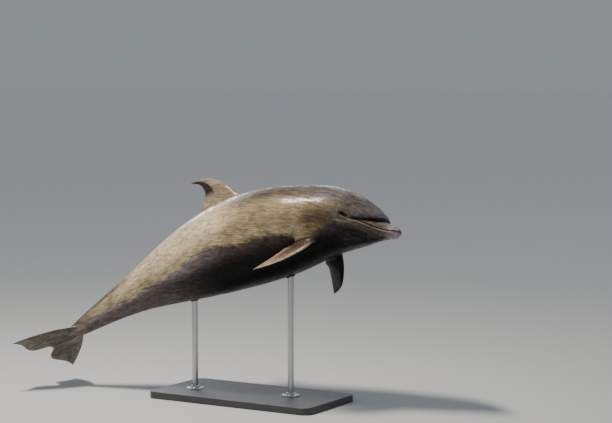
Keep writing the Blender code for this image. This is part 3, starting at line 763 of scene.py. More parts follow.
def open_eye(body, name, turn):
    """Lids that narrow from a patch of the grid to the eye's opening and turn in over the ball."""
    ring = nearest(body.shares, EYE_SHARE)
    column = nearest(body.angles[ring], side_angle(name, float(level_angle(EYE_SHARE, EYE_LEVEL))))
    rim = body.patch(ring, column, EYE_RINGS, EYE_COLUMNS)
    tau = round_trip(len(rim[0]), turn)
    half, upper, lower = EYE_OPENING
    sine = np.sin(tau)
    above = np.where(sine > 0, upper, lower) * sine * np.abs(sine) ** 0.4
    loop, points, fields = body.narrow(
        rim, LID_ROWS, EYE_SHARE - half * np.cos(tau) / BODY_LENGTH, body.grid["height"],
        EYE_LEVEL + above / BODY_LENGTH, lambda share, level: side_angle(name, level_angle(share, level)))
    centre, normal = eye_centre(name)
    out = points - centre
    distance = np.linalg.norm(out, axis=1, keepdims=True)
    direction = out / distance
    for inward in (0.25, 0.6, 1.0):
        radius = distance + (EYE_RADIUS + LID_GAP - distance) * inward
        loop = body.extend(loop, centre + direction * radius, lid=1.0, **fields)
    for turned in (0.2, 0.4, 0.6, 0.8):
        behind = unit(blend(direction, -normal, turned))
        loop = body.extend(loop, centre + behind * (EYE_RADIUS + SOCKET_GAP), lid=1.0, **fields)
    body.cap(loop, centre - normal * (EYE_RADIUS + SOCKET_GAP), share=EYE_SHARE, lid=1.0)


def open_blowhole(body):
    """A crescent slit across the top of the head, closed inside."""
    rim = body.patch(nearest(body.shares, BLOWHOLE_SHARE), SKIN_COLUMNS // 2, *BLOWHOLE_PATCH)
    tau = round_trip(len(rim[0]))
    half, opening = BLOWHOLE_SLIT
    across = -half * np.sin(tau)
    ahead = BLOWHOLE_BEND * across ** 2 + opening * np.cos(tau)
    top = outline(BLOWHOLE_SHARE, math.pi / 2) * BODY_LENGTH
    loop, points, fields = body.narrow(
        rim, BLOWHOLE_ROWS, BLOWHOLE_SHARE - ahead / BODY_LENGTH, body.angles, math.pi / 2 - across / top,
        lambda share, angle: angle)
    down = -outward(BLOWHOLE_SHARE, math.pi / 2)
    middle = points.mean(axis=0)
    for depth in (0.15, 0.5, 1.0):
        sunk = points + (middle - points) * 0.3 * depth + down * BLOWHOLE_DEPTH * depth
        loop = body.extend(loop, sunk, lid=1.0, **fields)
    body.cap(loop, middle + down * BLOWHOLE_DEPTH, share=BLOWHOLE_SHARE, lid=1.0)


# ---------------------------------------------------------------- the skin's pigments
FLANK_TAN = (0.180, 0.134, 0.072)
FLANK_GOLD = (0.285, 0.215, 0.122)
# Painted shade on the neck and shoulder behind the head.
SHOULDER_SHADE_BROWN = (0.060, 0.042, 0.026)
SADDLE = (0.086, 0.069, 0.063)
# Partly the grey of the back's ridge, partly a painted sky sheen.
RIDGE_GREY_AND_SHEEN = (0.230, 0.210, 0.220)
MELON_GREY = (0.150, 0.128, 0.142)
MELON_PALE = (0.230, 0.190, 0.225)
REAR_GOLD = (0.365, 0.292, 0.190)
# Painted highlight: golden glints of wet skin.
GLINT_HIGHLIGHT_GOLD = (0.420, 0.340, 0.210)
REAR_PALE = (0.600, 0.478, 0.315)
FLANK_SHADE = (0.120, 0.090, 0.052)
HEAD_GREY = (0.092, 0.074, 0.068)
CHEEK_GREY = (0.068, 0.056, 0.046)
# Painted shade under the jaw and on the throat.
THROAT_SHADE = (0.0085, 0.0072, 0.0080)
LIP_TAN = (0.230, 0.170, 0.120)
SNOUT_TAN = (0.135, 0.108, 0.078)
SNOUT_PINK = (0.350, 0.265, 0.320)
# Painted shade in folds and openings, and the dark eye patch.
SHADE_AND_EYE_PATCH_BLACK = (0.007, 0.006, 0.006)
FLIPPER_CREAM = (0.225, 0.155, 0.110)
FLIPPER_TIP = (0.430, 0.300, 0.180)
# Partly the flipper root's reddish brown, partly painted shade under the body.
FLIPPER_ROOT_RED_AND_SHADE = (0.048, 0.028, 0.020)
FLIPPER_EDGE = (0.480, 0.390, 0.270)
# Painted shade: the far flipper in the body's shadow.
FAR_FLIPPER_SHADE = (0.0055, 0.0055, 0.0060)
FIN_OLIVE = (0.235, 0.188, 0.125)
FIN_PALE = (0.300, 0.245, 0.205)
FIN_DARK = (0.036, 0.026, 0.031)
FLUKE_GREY = (0.110, 0.092, 0.074)
# Painted shade of the underside: brown, greyer to the rear, nearly black deep on the belly.
UNDERSIDE_SHADE = (0.056, 0.041, 0.038)
UNDERSIDE_REAR_SHADE = (0.185, 0.147, 0.146)
BELLY_SHADE_BLACK = (0.0045, 0.0040, 0.0045)
FIN_LEVEL = 0.3           # how far over or under the flank's line a fin counts as being, in metres

def painted(colour, *layers):
    """A colour at each vertex under layers of (colour, mask)."""
    for other, mask in layers:
        colour = blend(colour, np.array(other), np.clip(mask, 0, 1)[:, None])
    return colour


def plain(colour, like):
    return np.tile(colour, (len(like), 1))


def flank_pigment(share, height, crest):
    """The lit pale side: gold on the flank, brown with painted shade on the shoulder, painted golden glints
    and sky sheen, grey along the back and the head.
    """
    above, crease, groove = (gap(line, share, height) for line in ("flank", "crease", "groove"))
    rear_start = 0.03 + 0.5 * np.clip(0.50 - share, 0, 0.2)
    return painted(
        plain(FLANK_TAN, share),
        (FLANK_GOLD, 0.8 * window(share, 0.24, 0.42, 0.10) * bell(height - 0.012, 0.045)),
        (REAR_GOLD, 0.8 * rise(share, 0.42, 0.10)),
        # Painted highlight: a band of golden glints over the painted shadow line.
        (GLINT_HIGHLIGHT_GOLD, 0.55 * window(share, 0.25, 0.62, 0.06) * bell(above - 0.035, 0.045)),
        (FLANK_SHADE, 0.5 * window(share, 0.25, 0.40, 0.04) * bell(height + 0.010, 0.019)),
        # Painted shade on the neck and shoulder.
        (SHOULDER_SHADE_BROWN, 0.9 * window(share, 0.148, 0.196, 0.045) * bell(height + 0.009, 0.021)),
        (SADDLE, 0.85 * rise(crest, 0.42, 0.26)),
        # Grey ridge, partly painted sky sheen along the back's top.
        (RIDGE_GREY_AND_SHEEN, rise(crest, 0.90, 0.10)),
        (REAR_PALE, 0.85 * rise(above, rear_start, 0.06) * window(share, 0.46, 0.66, 0.13)),
        # Painted reflection: a paler patch high on the shoulder.
        (RIDGE_GREY_AND_SHEEN, 0.45 * window(share, 0.140, 0.185, 0.022) * bell(height - 0.054, 0.017)),
        (HEAD_GREY, 0.95 * fall(share, 0.118, 0.050)),
        (FLUKE_GREY, rise(share, 0.80, 0.12)),
        # Painted highlight: a paler bulge over the melon's fold.
        (MELON_GREY, 0.50 * bell(crease - 0.042, 0.020) * window(share, 0.055, 0.100, 0.012)),
        # Painted shade in the groove over the eye.
        (SADDLE, 0.55 * bell(groove, 0.012) * window(share, 0.084, 0.116, 0.012)),
        (MELON_GREY, 0.9 * fall(share, 0.042, 0.030)),
        (MELON_PALE, 0.9 * fall(share, 0.040, 0.016)))


def head_pigment(colour, share, height):
    """The beak, the lips and the cheek, painted over the pale side, and painted shade darkening the throat
    below the mouth.
    """
    mouth, crease, jowl = (gap(line, share, height) for line in ("mouth", "crease", "jowl"))
    jaw = fall(share, 0.115, 0.035)
    wedge = fall(share, 0.085, 0.030) * rise(mouth, 0, 0.006)
    return painted(
        colour,
        (CHEEK_GREY, jaw * rise(-mouth, 0, 0.010)),
        # Painted shade: darker down the throat below the mouth.
        (THROAT_SHADE, jaw * rise(-mouth, 0.022, 0.050)),
        (SNOUT_TAN, 0.9 * wedge * fall(crease, -0.004, 0.006)),
        (SNOUT_PINK, 0.9 * fall(share, 0.008, 0.030)),
        (LIP_TAN, 0.85 * window(-mouth, 0.0035, 0.0085, 0.0035) * window(share, -1, 0.106, 0.012)),
        (LIP_TAN, 0.55 * window(share, 0.100, 0.132, 0.010) * bell(jowl, 0.005)))


def shaded_underside_pigment(share, height):
    """The painted shade of the underside: brown under the flank, greyer to the rear, nearly black on the
    belly and under the throat.
    """
    low = body_at(share)[:, 1]
    return painted(
        plain(UNDERSIDE_SHADE, share),
        (UNDERSIDE_REAR_SHADE, rise(share, 0.38, 0.20)),
        (BELLY_SHADE_BLACK, rise(-height / low, 0.38, 0.36) * (1 - 0.6 * rise(share, 0.45, 0.3))),
        (THROAT_SHADE, 0.6 * fall(share, 0.11, 0.06)))


def blade_pigments(f):
    """Colours of the fins: dorsal, near flipper, far flipper and flukes; the near flipper's root carries
    painted shade and the far flipper is all painted shade.
    """
    chord, reach = np.abs(f["chord"]), f["reach"]
    fin = painted(
        plain(FIN_OLIVE, reach),
        (FIN_PALE, rise(reach, 0.40, 0.4) * fall(chord, 0.30, 0.35)),
        (FIN_DARK, rise(chord, 0.54, 0.12) * rise(reach, 0.36, 0.16)))
    rear_edge = rise(chord, 0.66, 0.16) * rise(reach, 0.16, 0.16)
    flipper = painted(
        plain(FLIPPER_CREAM, reach),
        # Reddish brown root, darkened with painted shade under the body.
        (FLIPPER_ROOT_RED_AND_SHADE, fall(reach, 0.15, 0.55)),
        (FLIPPER_ROOT_RED_AND_SHADE, 0.55 * bell(chord - 0.42, 0.14) * window(reach, 0.22, 0.62, 0.14)),
        (FLIPPER_TIP, np.maximum(0.75 * rear_edge, rise(reach, 0.55, 0.4))),
        (FLIPPER_EDGE, 0.9 * fall(chord, 0.02, 0.09) * rise(reach, 0.06, 0.2)))
    return {"dorsal": fin, "near": flipper, "far": plain(FAR_FLIPPER_SHADE, reach), "fluke": plain(FLUKE_GREY, reach)}


def pigments(f):
    """Colour of the lit pale side and of the painted shade beneath it at each vertex, and the metres from the
    painted shadow line between them.
    """
    share, height = f["share"], f["height"]
    crest = height / body_at(share)[:, 0]
    pale = head_pigment(flank_pigment(share, height, crest), share, height)
    under = shaded_underside_pigment(share, height)
    flank = gap("flank", share, height)
    flank = blend(flank, np.maximum(flank, 0.06), fall(share, 0.105, 0.040))
    for name, colour in blade_pigments(f).items():
        pale = blend(pale, colour, rise(f[name], 0, 0.35)[:, None])
        weight = rise(f[name], 0.45, 0.40) if name == "near" else f[name]
        flank = blend(flank, -FIN_LEVEL if name == "far" else FIN_LEVEL, weight)
    # Painted shade: the far flipper is wholly dark.
    under = blend(under, np.array(FAR_FLIPPER_SHADE), f["far"][:, None])
    return pale, under, np.clip(flank, -0.4, 0.4)


def shade_lines_and_eye_patch(f):
    """0 to 1: painted shade in the mouth line, the fold under the melon, the dorsal fin's foot and the
    insides of openings; round the eye, partly the dark eye patch and partly painted shade.
    """
    share, height = f["share"], f["height"]
    body = 1 - np.clip(f["dorsal"] + f["near"] + f["far"] + f["fluke"], 0, 1)
    mouth = 0.97 * bell(gap("mouth", share, height), 0.0034) * window(share, -1, MOUTH_CORNER - 0.002, 0.006)
    melon_fold_shade = np.clip(1.5 * bell(gap("crease", share, height) - 0.001, 0.0105), 0, 0.96)
    dark = np.maximum(mouth, melon_fold_shade * window(share, 0.037, 0.100, 0.010))
    ahead, above = eye_offsets(share, height)
    surround = np.abs(ahead / 0.033) ** 2 + np.abs((above + 0.30 * ahead) / 0.0135) ** 2
    dark = np.maximum(dark, 0.98 * fall(surround, 0.62, 0.45))
    # Painted shadow along the dorsal fin's foot.
    fin_foot_shadow = 0.70 * window(f["reach"], 0.030, 0.045, 0.020) * np.ceil(f["dorsal"])
    return np.maximum(np.maximum(dark * body, fin_foot_shadow), f["lid"])


def wetness(f, flank):
    """Weight of the glossy film: full on the pale side, thin underneath and inside openings."""
    film = (0.03 + 0.43 * rise(flank, -0.02, 0.06)) * (1 - 0.75 * f["near"])
    return film * (1 - f["lid"]) * (1 - f["far"]) + 0.02


# ---------------------------------------------------------------- node helpers
class Nodes:
    """A node tree, with short names for the nodes that the finishes use."""

    def __init__(self, tree):
        self.tree = tree

    def feed(self, socket, value):
        if isinstance(value, bpy.types.NodeSocket):
            self.tree.links.new(value, socket)
        else:
            socket.default_value = value

    def add(self, kind, inputs=None, **settings):
        node = self.tree.nodes.new(kind)
        for name, value in settings.items():
            setattr(node, name, value)
        for index, value in (inputs or {}).items():
            self.feed(node.inputs[index], value)
        return node

    def shade(self, **values):
        """Constants set on, and links made to, the Principled shader's sockets."""
        shader = self.tree.nodes["Principled BSDF"]
        for socket, value in values.items():
            self.feed(shader.inputs[socket.replace("_", " ")], value)

    def maths(self, operation, *values):
        return self.add("ShaderNodeMath", dict(enumerate(values)), operation=operation).outputs[0]

    def times(self, first, second):
        return self.maths("MULTIPLY", first, second)

    def mixed(self, factor, first, second):
        inputs = {0: factor, 6: first, 7: second}
        return self.add("ShaderNodeMix", inputs, data_type="RGBA").outputs[2]

    def ramp(self, value, low, high, out_low=0.0, out_high=1.0):
        inputs = dict(enumerate((value, low, high, out_low, out_high)))
        return self.add("ShaderNodeMapRange", inputs, interpolation_type="SMOOTHSTEP").outputs[0]

    def noise(self, where, scale, detail=4.0, roughness=0.55, distortion=0.0):
        inputs = {"Vector": where, "Scale": scale, "Detail": detail, "Roughness": roughness}
        return self.add("ShaderNodeTexNoise", {**inputs, "Distortion": distortion}).outputs["Fac"]

    def attribute(self, name, output="Fac"):
        return self.add("ShaderNodeAttribute", attribute_name=name).outputs[output]

    def coordinates(self):
        return self.add("ShaderNodeTexCoord").outputs["Object"]

    def stretched(self, where, scale, turn=(0.0, 0.0, 0.0)):
        inputs = {"Vector": where, "Scale": scale, "Rotation": turn}
        return self.add("ShaderNodeMapping", inputs).outputs[0]

    def bumped(self, height, strength, distance, **normal):
        inputs = {"Height": height, "Strength": strength, "Distance": distance, **normal}
        return self.add("ShaderNodeBump", inputs).outputs["Normal"]

    def scaled(self, colour, value):
        """A colour made lighter or darker by a value."""
        return self.add("ShaderNodeVectorMath", {0: colour, 3: value}, operation="SCALE").outputs[0]

    def uneven(self, where, scale, depth):
        """Value near 1 and height of the shared uneven finish."""
        inputs = {"Vector": where, "Scale": scale, "Depth": depth}
        return tuple(self.add("ShaderNodeGroup", inputs, node_tree=UNEVEN).outputs)


def new_group(name, kind, inputs, outputs):
    """The nodes of a new group, its given sockets and the sockets that it gives."""
    tree = bpy.data.node_groups.new(name, kind)
    for direction, sockets in (("INPUT", inputs), ("OUTPUT", outputs)):
        for socket, value_kind in sockets.items():
            tree.interface.new_socket(socket, in_out=direction, socket_type="NodeSocket" + value_kind)
    nodes = Nodes(tree)
    return nodes, nodes.add("NodeGroupInput").outputs, nodes.add("NodeGroupOutput").inputs


def make_uneven_group():
    """Cloudy variation and fine grain for any finish: one value near 1 and one height."""
    n, given, giving = new_group(
        "uneven", "ShaderNodeTree", {"Vector": "Vector", "Scale": "Float", "Depth": "Float"},
        {"Value": "Float", "Height": "Float"})
    cloud = n.noise(given["Vector"], given["Scale"], 5.0, 0.6)
    grain = n.noise(given["Vector"], n.times(given["Scale"], 9.0), 3.0, 0.6)
    both = n.maths("ADD", n.times(cloud, 0.65), n.times(grain, 0.35))
    swing = n.times(n.maths("SUBTRACT", both, 0.5), given["Depth"])
    n.feed(giving["Value"], n.maths("ADD", 1.0, swing))
    n.feed(giving["Height"], both)
    return n.tree


UNEVEN = make_uneven_group()


# ---------------------------------------------------------------- finishes
def new_finish(name, **constants):
    """A material and its nodes, with the shader's plain constants set on the sockets themselves."""
    material = bpy.data.materials.new(name)
    material.use_nodes = True
    nodes = Nodes(material.node_tree)
    nodes.shade(**constants)
    return material, nodes


def make_skin_finish():
    material, n = new_finish(
        "wet_skin", IOR=1.38, Specular_IOR_Level=0.12, Coat_Roughness=0.19, Coat_IOR=1.34)
    where, flank, tailwards = n.coordinates(), n.attribute("flank"), n.attribute("tailwards")
    flow = n.stretched(n.attribute("flow", "Vector"), (1.0, 1.0, 1.0), (0.0, 0.22, 0.0))
    combing = n.noise(n.stretched(flow, (16.0, 46.0, 84.0)), 1.0, 6.0, 0.68, 0.3)
    along = n.stretched(where, (1.0, 1.7, 1.7))
    bands = n.stretched(where, (4.0, 1.0, 1.0), (0.0, 0.45, 0.0))
    # The ragged edge between the lit side and the painted shade of the underside: a painted shadow line.
    drift = n.maths("SUBTRACT", n.noise(along, 4.0, 4.0, 0.5), 0.5)
    edge = n.maths("MULTIPLY_ADD", drift, 0.07, flank)
    ripples = n.maths("SUBTRACT", combing, 0.5)
    edge = n.maths("MULTIPLY_ADD", ripples, n.ramp(tailwards, 0.35, 0.60, 0.035, 0.09), edge)
    lit = n.ramp(edge, -0.014, 0.016)
    colour = n.mixed(lit, n.attribute("shaded_underside", "Color"), n.attribute("lit_side", "Color"))
    # Clouds, blotches and combed streaks over both.
    broad, _ = n.uneven(along, 3.5, 1.5)
    middle, mottle = n.uneven(where, 13.0, 1.5)
    fine, pores = n.uneven(where, 48.0, 1.0)
    washed, _ = n.uneven(bands, 6.0, 0.7)
    shade = n.times(n.times(broad, middle), n.times(fine, washed))
    shade = n.times(shade, n.ramp(combing, 0.34, 0.66, 0.68, 1.36))
    colour = n.scaled(colour, shade)
    # Painted golden glints, painted highlights of wet skin, low on the flank, from the shoulder to the tail.
    glint_highlights = n.times(n.ramp(combing, 0.49, 0.66), n.ramp(flank, 0.17, 0.03))
    reach = n.times(n.ramp(tailwards, 0.22, 0.44, 0.0, 0.85), n.ramp(tailwards, 0.58, 0.72, 1.0, 0.0))
    colour = n.mixed(n.times(n.times(glint_highlights, lit), reach), colour, (*GLINT_HIGHLIGHT_GOLD, 1.0))
    # Painted shade in the mouth, the melon's fold, the fin's foot and the openings, and the dark eye patch
    # round the eye.
    colour = n.mixed(n.attribute("dark"), colour, (*SHADE_AND_EYE_PATCH_BLACK, 1.0))
    film = n.times(n.attribute("wetness"), n.ramp(middle, 0.8, 1.2, 0.8, 1.2))
    film = n.times(film, n.ramp(combing, 0.42, 0.60, 0.12, 1.35))
    chop = n.times(n.noise(bands, 17.0, 4.0, 0.55, 1.6), n.ramp(tailwards, 0.14, 0.60, 0.16, 0.30))
    normal = n.bumped(n.maths("ADD", n.noise(along, 11.0, 4.0, 0.55, 0.4), chop), 0.5, 0.008)
    n.shade(Base_Color=colour, Roughness=n.ramp(mottle, 0.35, 0.65, 0.34, 0.52), Coat_Weight=film,
            Normal=n.bumped(pores, 0.22, 0.0016, Normal=normal))
    return material


def make_eye_finish():
    material, n = new_finish(
        "eye_gloss", IOR=1.33, Specular_IOR_Level=0.25, Coat_Weight=0.15, Coat_Roughness=0.03)
    gaze = n.attribute("gaze")
    value, _ = n.uneven(n.coordinates(), 300.0, 1.4)
    iris, white = n.scaled((0.012, 0.007, 0.005), value), n.scaled((0.014, 0.010, 0.009), value)
    colour = n.mixed(n.ramp(gaze, 0.50, 0.62), iris, white)
    colour = n.mixed(n.ramp(gaze, 0.24, 0.30), (0.004, 0.004, 0.005, 1.0), colour)
    n.shade(Base_Color=colour, Roughness=n.ramp(value, 0.8, 1.2, 0.10, 0.20))
    return material


def make_plinth_finish():
    material, n = new_finish("plinth_satin", Coat_Weight=0.15, Coat_Roughness=0.3)
    where = n.coordinates()
    value, height = n.uneven(where, 22.0, 0.5)
    speck, grain = n.uneven(where, 260.0, 0.6)
    n.shade(Base_Color=n.scaled((0.045, 0.045, 0.048), n.times(value, speck)),
            Roughness=n.ramp(height, 0.3, 0.7, 0.40, 0.55), Normal=n.bumped(grain, 0.25, 0.0008))
    return material


def make_steel_finish(name, stretch, colour, roughness):
    material, n = new_finish(name, Metallic=1.0)
    where = n.coordinates()
    value, height = n.uneven(n.stretched(where, stretch), 40.0, 0.5)
    smear, _ = n.uneven(where, 12.0, 0.4)
    n.shade(Base_Color=n.scaled(colour, n.times(value, smear)),
            Roughness=n.ramp(height, 0.3, 0.7, roughness - 0.06, roughness + 0.08),
            Normal=n.bumped(height, 0.12, 0.0004))
    return material


def make_rubber_finish():
    material, n = new_finish("gasket_rubber", Specular_IOR_Level=0.35)
    value, grain = n.uneven(n.coordinates(), 400.0, 0.5)
    n.shade(Base_Color=n.scaled((0.018, 0.018, 0.019), value),
            Roughness=n.ramp(grain, 0.3, 0.7, 0.55, 0.75), Normal=n.bumped(grain, 0.3, 0.0005))
    return material


# ---------------------------------------------------------------- pieces
def add_piece(name, mesh, finish, slot, *replaced):
    piece = bpy.data.objects.new(name, mesh)
    bpy.context.scene.collection.objects.link(piece)
    mesh.materials.clear()
    mesh.materials.append(finish)
    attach(piece, "root")
    if replaced:
        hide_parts(*replaced)
    return piece


def set_attribute(mesh, name, values, kind="FLOAT", key="value"):
    mesh.attributes.new(name, kind, "POINT").data.foreach_set(key, np.ravel(values))


def set_colours(mesh, name, colours):
    opaque = np.hstack([colours, np.ones((len(colours), 1))])
    set_attribute(mesh, name, opaque, "FLOAT_COLOR", "color")


def make_skin(finish):
    body = Body()
    grow_fins(body)
    for name, turn in SIDES.items():
        open_eye(body, name, turn)
    open_blowhole(body)
    body.close()
    mesh, fields = body.build()
    lit_side, shaded_underside, flank = pigments(fields)
    set_colours(mesh, "lit_side", lit_side)
    set_colours(mesh, "shaded_underside", shaded_underside)
    set_attribute(mesh, "flank", flank)
    set_attribute(mesh, "dark", shade_lines_and_eye_patch(fields))
    set_attribute(mesh, "tailwards", fields["share"])
    set_attribute(mesh, "wetness", wetness(fields, flank))
    return add_piece(
        "skin", mesh, finish, "skin", "head", "lower_jaw", "trunk", "tail_stock", "dorsal_fin",
        "flipper_left", "flipper_right", "fluke_left", "fluke_right")


def make_eyeball(name, finish):
    centre, normal = eye_centre(name)
    mesh = bpy.data.meshes.new("eyeball_" + name)
    ball = bmesh.new()
    bmesh.ops.create_uvsphere(ball, u_segments=48, v_segments=32, radius=EYE_RADIUS)
    turn = Vector(normal).to_track_quat("Z", "Y").to_matrix()
    bmesh.ops.rotate(ball, verts=ball.verts, matrix=turn)
    bmesh.ops.translate(ball, verts=ball.verts, vec=Vector(centre))
    ball.to_mesh(mesh)
    ball.free()
    mesh.shade_smooth()
    points = np.array([v.co for v in mesh.vertices]) - centre
    set_attribute(mesh, "gaze", np.arccos(np.clip(unit(points) @ normal, -1, 1)))
    add_piece("eyeball_" + name, mesh, finish, "eye", "eye_" + name)


# ---------------------------------------------------------------- the stand
PLATE_FOOT = (0.012, 0.004)      # inset and height of the plate's recessed foot
PLATE_LIP = 0.001
PLATE_EASE = 0.006
PLATE_CORNER = 0.06
CORNER_STEPS = 14
ROUND_STEPS = 96
ROD_GAP = 0.00045
GASKET_WIDTH = 0.009
GASKET_DEPTH = 0.007
# Shares of the width and of the depth round the soft ring's section.
GASKET_SECTION = ((0.0, 0.0), (0.0, 1.0), (0.6, 1.0), (0.9, 0.8), (1.0, 0.45), (1.0, 0.0))
COLLAR_EASE = 0.0015
SCREW_COUNT = 4
SCREW_RADIUS = 0.0052
SHARP = math.radians(40)


def cad_box(node):
    """Lowest and highest corner of a solid, and the middle and half size of its box."""
    low, high = (np.array(corner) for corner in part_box(node))
    return low, high, (low + high) / 2, (high - low) / 2


def ring_shell(name, rings, closed=False):
    """A mesh of rings of points, each bridged to the next, capped or closed on itself."""
    count, last, faces = len(rings[0]), len(rings) - 1, []
    pairs = [(i, i + 1) for i in range(last)]
    if closed:
        pairs.append((last, 0))
    else:
        faces = [tuple(range(start, start + count)) for start in (0, last * count)]
    for first, second in pairs:
        a, b = first * count, second * count
        faces.extend((a + k, a + (k + 1) % count, b + (k + 1) % count, b + k) for k in range(count))
    mesh = closed_mesh(name, np.concatenate(rings), faces)
    mesh.set_sharp_from_angle(angle=SHARP)
    return mesh


def circle(centre, radius, height):
    turn = round_trip(ROUND_STEPS)
    x, y = centre[0] + radius * np.cos(turn), centre[1] + radius * np.sin(turn)
    return np.stack([x, y, np.broadcast_to(height, turn.shape)], -1)


def make_plate(finish):
    """The base: an eased plate on a slightly recessed foot."""
    low, high, middle, half = cad_box("stand_base")
    inset, foot = PLATE_FOOT
    profile = [(inset, low[2]), (inset, foot), (PLATE_LIP, foot), (0.0, foot + PLATE_LIP)]
    for t in np.linspace(math.pi / 2, 0, 6):
        profile.append((PLATE_EASE * (1 - math.sin(t)), high[2] - PLATE_EASE * (1 - math.cos(t))))
    quarter = np.repeat(np.arange(4), CORNER_STEPS + 1)
    turn = math.pi / 2 * (quarter + np.tile(np.arange(CORNER_STEPS + 1) / CORNER_STEPS, 4))
    corners = np.array([(1, 1), (-1, 1), (-1, -1), (1, -1)])[quarter]
    corners = middle[:2] + corners * (half[:2] - PLATE_CORNER)
    out = np.stack([np.cos(turn), np.sin(turn)], -1)
    rings = [np.column_stack([corners + (PLATE_CORNER - pulled) * out, np.full(len(turn), height)])
             for pulled, height in profile]
    add_piece("stand_plate", ring_shell("stand_plate", rings), finish, "plinth", "stand_base")


def under_belly(tree, ring, below):
    """A ring of points put so far below the skin."""
    hits = [tree.ray_cast(Vector((x, y, 0.1)), Vector((0, 0, 1)))[0].z for x, y, _ in ring]
    ring[:, 2] = np.array(hits) - below
    return ring


def make_rod(end, skin_tree, finish, rubber):
    """A round bar up to the belly, with a soft ring between them."""
    low, _, centre, half = cad_box("stand_rod_" + end)
    foot = circle(centre, half[0], low[2])
    top = under_belly(skin_tree, foot.copy(), ROD_GAP)
    add_piece("rod_" + end, ring_shell("rod_" + end, [foot, top]), finish, "rod", "stand_rod_" + end)
    rings = []
    for width, depth in GASKET_SECTION:
        ring = circle(centre, half[0] + ROD_GAP + GASKET_WIDTH * width, 0.0)
        rings.append(under_belly(skin_tree, ring, ROD_GAP + GASKET_DEPTH * depth))
    add_piece("rod_gasket_" + end, ring_shell("rod_gasket_" + end, rings, closed=True), rubber, "rod")
    return centre, half[0]


def make_collar(end, centre, rod_radius, finish):
    """The turned flange round a rod's foot."""
    low, high, _, half = cad_box("stand_collar_" + end)
    outer, height, bore, ease = half[0], high[2] - low[2], rod_radius + ROD_GAP, COLLAR_EASE
    neck, flange = 0.47 * outer, 0.34 * height
    profile = [
        (bore, 0.0), (outer - ease, 0.0), (outer, ease), (outer, flange - 2 * ease),
        (outer - 0.6 * ease, flange - 0.6 * ease), (outer - 2 * ease, flange), (neck + 0.006, flange),
        (neck + 0.0025, flange + 0.001), (neck + 0.0006, flange + 0.004), (neck, height - 2 * ease),
        (neck - 0.6 * ease, height - 0.6 * ease), (neck - 2 * ease, height), (bore + ease, height),
        (bore, height - ease),
    ]
    rings = [circle(centre, radius, low[2] + level) for radius, level in profile]
    mesh = ring_shell("collar_" + end, rings, closed=True)
    add_piece("collar_" + end, mesh, finish, "rod", "stand_collar_" + end)
    return low[2] + flange, (neck + outer) / 2


def make_screw_tree():
    """Socket screws set evenly round a circle."""
    n, given, giving = new_group("screw_ring", "GeometryNodeTree", {
        "Centre": "Vector", "Ring Radius": "Float", "Count": "Int", "Head Radius": "Float",
        "Finish": "Material"}, {"Geometry": "Geometry"})
    radius = given["Head Radius"]
    head = n.add("GeometryNodeMeshCone", {
        "Vertices": 32, "Radius Bottom": radius, "Radius Top": n.times(radius, 0.82),
        "Depth": n.times(radius, 0.55)})
    socket = n.add("GeometryNodeMeshCylinder", {
        "Vertices": 6, "Radius": n.times(radius, 0.5), "Depth": radius})
    raised = n.add("ShaderNodeCombineXYZ", {2: n.times(radius, 0.7)})
    lifted = n.add("GeometryNodeTransform", {
        "Geometry": socket.outputs["Mesh"], "Translation": raised.outputs[0]})
    carved = n.add("GeometryNodeMeshBoolean", {
        "Mesh 1": head.outputs["Mesh"], "Mesh 2": lifted.outputs[0]}, operation="DIFFERENCE", solver="EXACT")
    ring = n.add("GeometryNodeMeshCircle", {"Vertices": given["Count"], "Radius": given["Ring Radius"]})
    made = n.add("GeometryNodeInstanceOnPoints", {"Points": ring.outputs[0], "Instance": carved.outputs[0]})
    # Put in place, made real and given its finish.
    for kind, inputs in (("Transform", {"Translation": given["Centre"]}), ("RealizeInstances", {}),
                         ("SetMaterial", {"Material": given["Finish"]})):
        made = n.add("GeometryNode" + kind, {"Geometry": made.outputs[0], **inputs})
    n.feed(giving["Geometry"], made.outputs[0])
    return n.tree


def make_screws(end, tree, centre, ring_radius, finish):
    name = "collar_screws_" + end
    holder = bpy.data.objects.new(name, bpy.data.meshes.new(name + "_start"))
    bpy.context.scene.collection.objects.link(holder)
    modifier = holder.modifiers.new("screws", "NODES")
    modifier.node_group = tree
    values = {
        "Centre": centre, "Ring Radius": ring_radius, "Count": SCREW_COUNT, "Head Radius": SCREW_RADIUS,
        "Finish": finish,
    }
    for socket in tree.interface.items_tree:
        if socket.name in values:
            modifier[socket.identifier] = values[socket.name]
    graph = bpy.context.evaluated_depsgraph_get()
    mesh = bpy.data.meshes.new_from_object(holder.evaluated_get(graph), depsgraph=graph)
    bpy.data.objects.remove(holder, do_unlink=True)
    add_piece(name, mesh, finish, "rod")


def make_stand(skin):
    skin_tree = BVHTree.FromObject(skin, bpy.context.evaluated_depsgraph_get())
    make_plate(make_plinth_finish())
    rod_steel = make_steel_finish("rod_steel", (1.0, 1.0, 0.05), (0.56, 0.56, 0.57), 0.30)
    collar_steel = make_steel_finish("collar_steel", (1.0, 1.0, 14.0), (0.52, 0.52, 0.53), 0.34)
    screw_steel = make_steel_finish("screw_steel", (3.0, 3.0, 3.0), (0.42, 0.42, 0.43), 0.26)
    rubber, tree = make_rubber_finish(), make_screw_tree()
    for end in ("front", "rear"):
        centre, radius = make_rod(end, skin_tree, rod_steel, rubber)
        level, ring_radius = make_collar(end, centre, radius, collar_steel)
        seat = (centre[0], centre[1], level + 0.1 * SCREW_RADIUS)
        make_screws(end, tree, seat, ring_radius, screw_steel)


# ---------------------------------------------------------------- studio
FLOOR_REACH = 500.0
FLOOR_NEAR = (0.66, 0.67, 0.68, 1.0)
FLOOR_FAR = (0.97, 0.97, 0.97, 1.0)
KEY_DIRECTION = (-0.34, -0.30, 0.89)
KEY_DISTANCE = 5.5

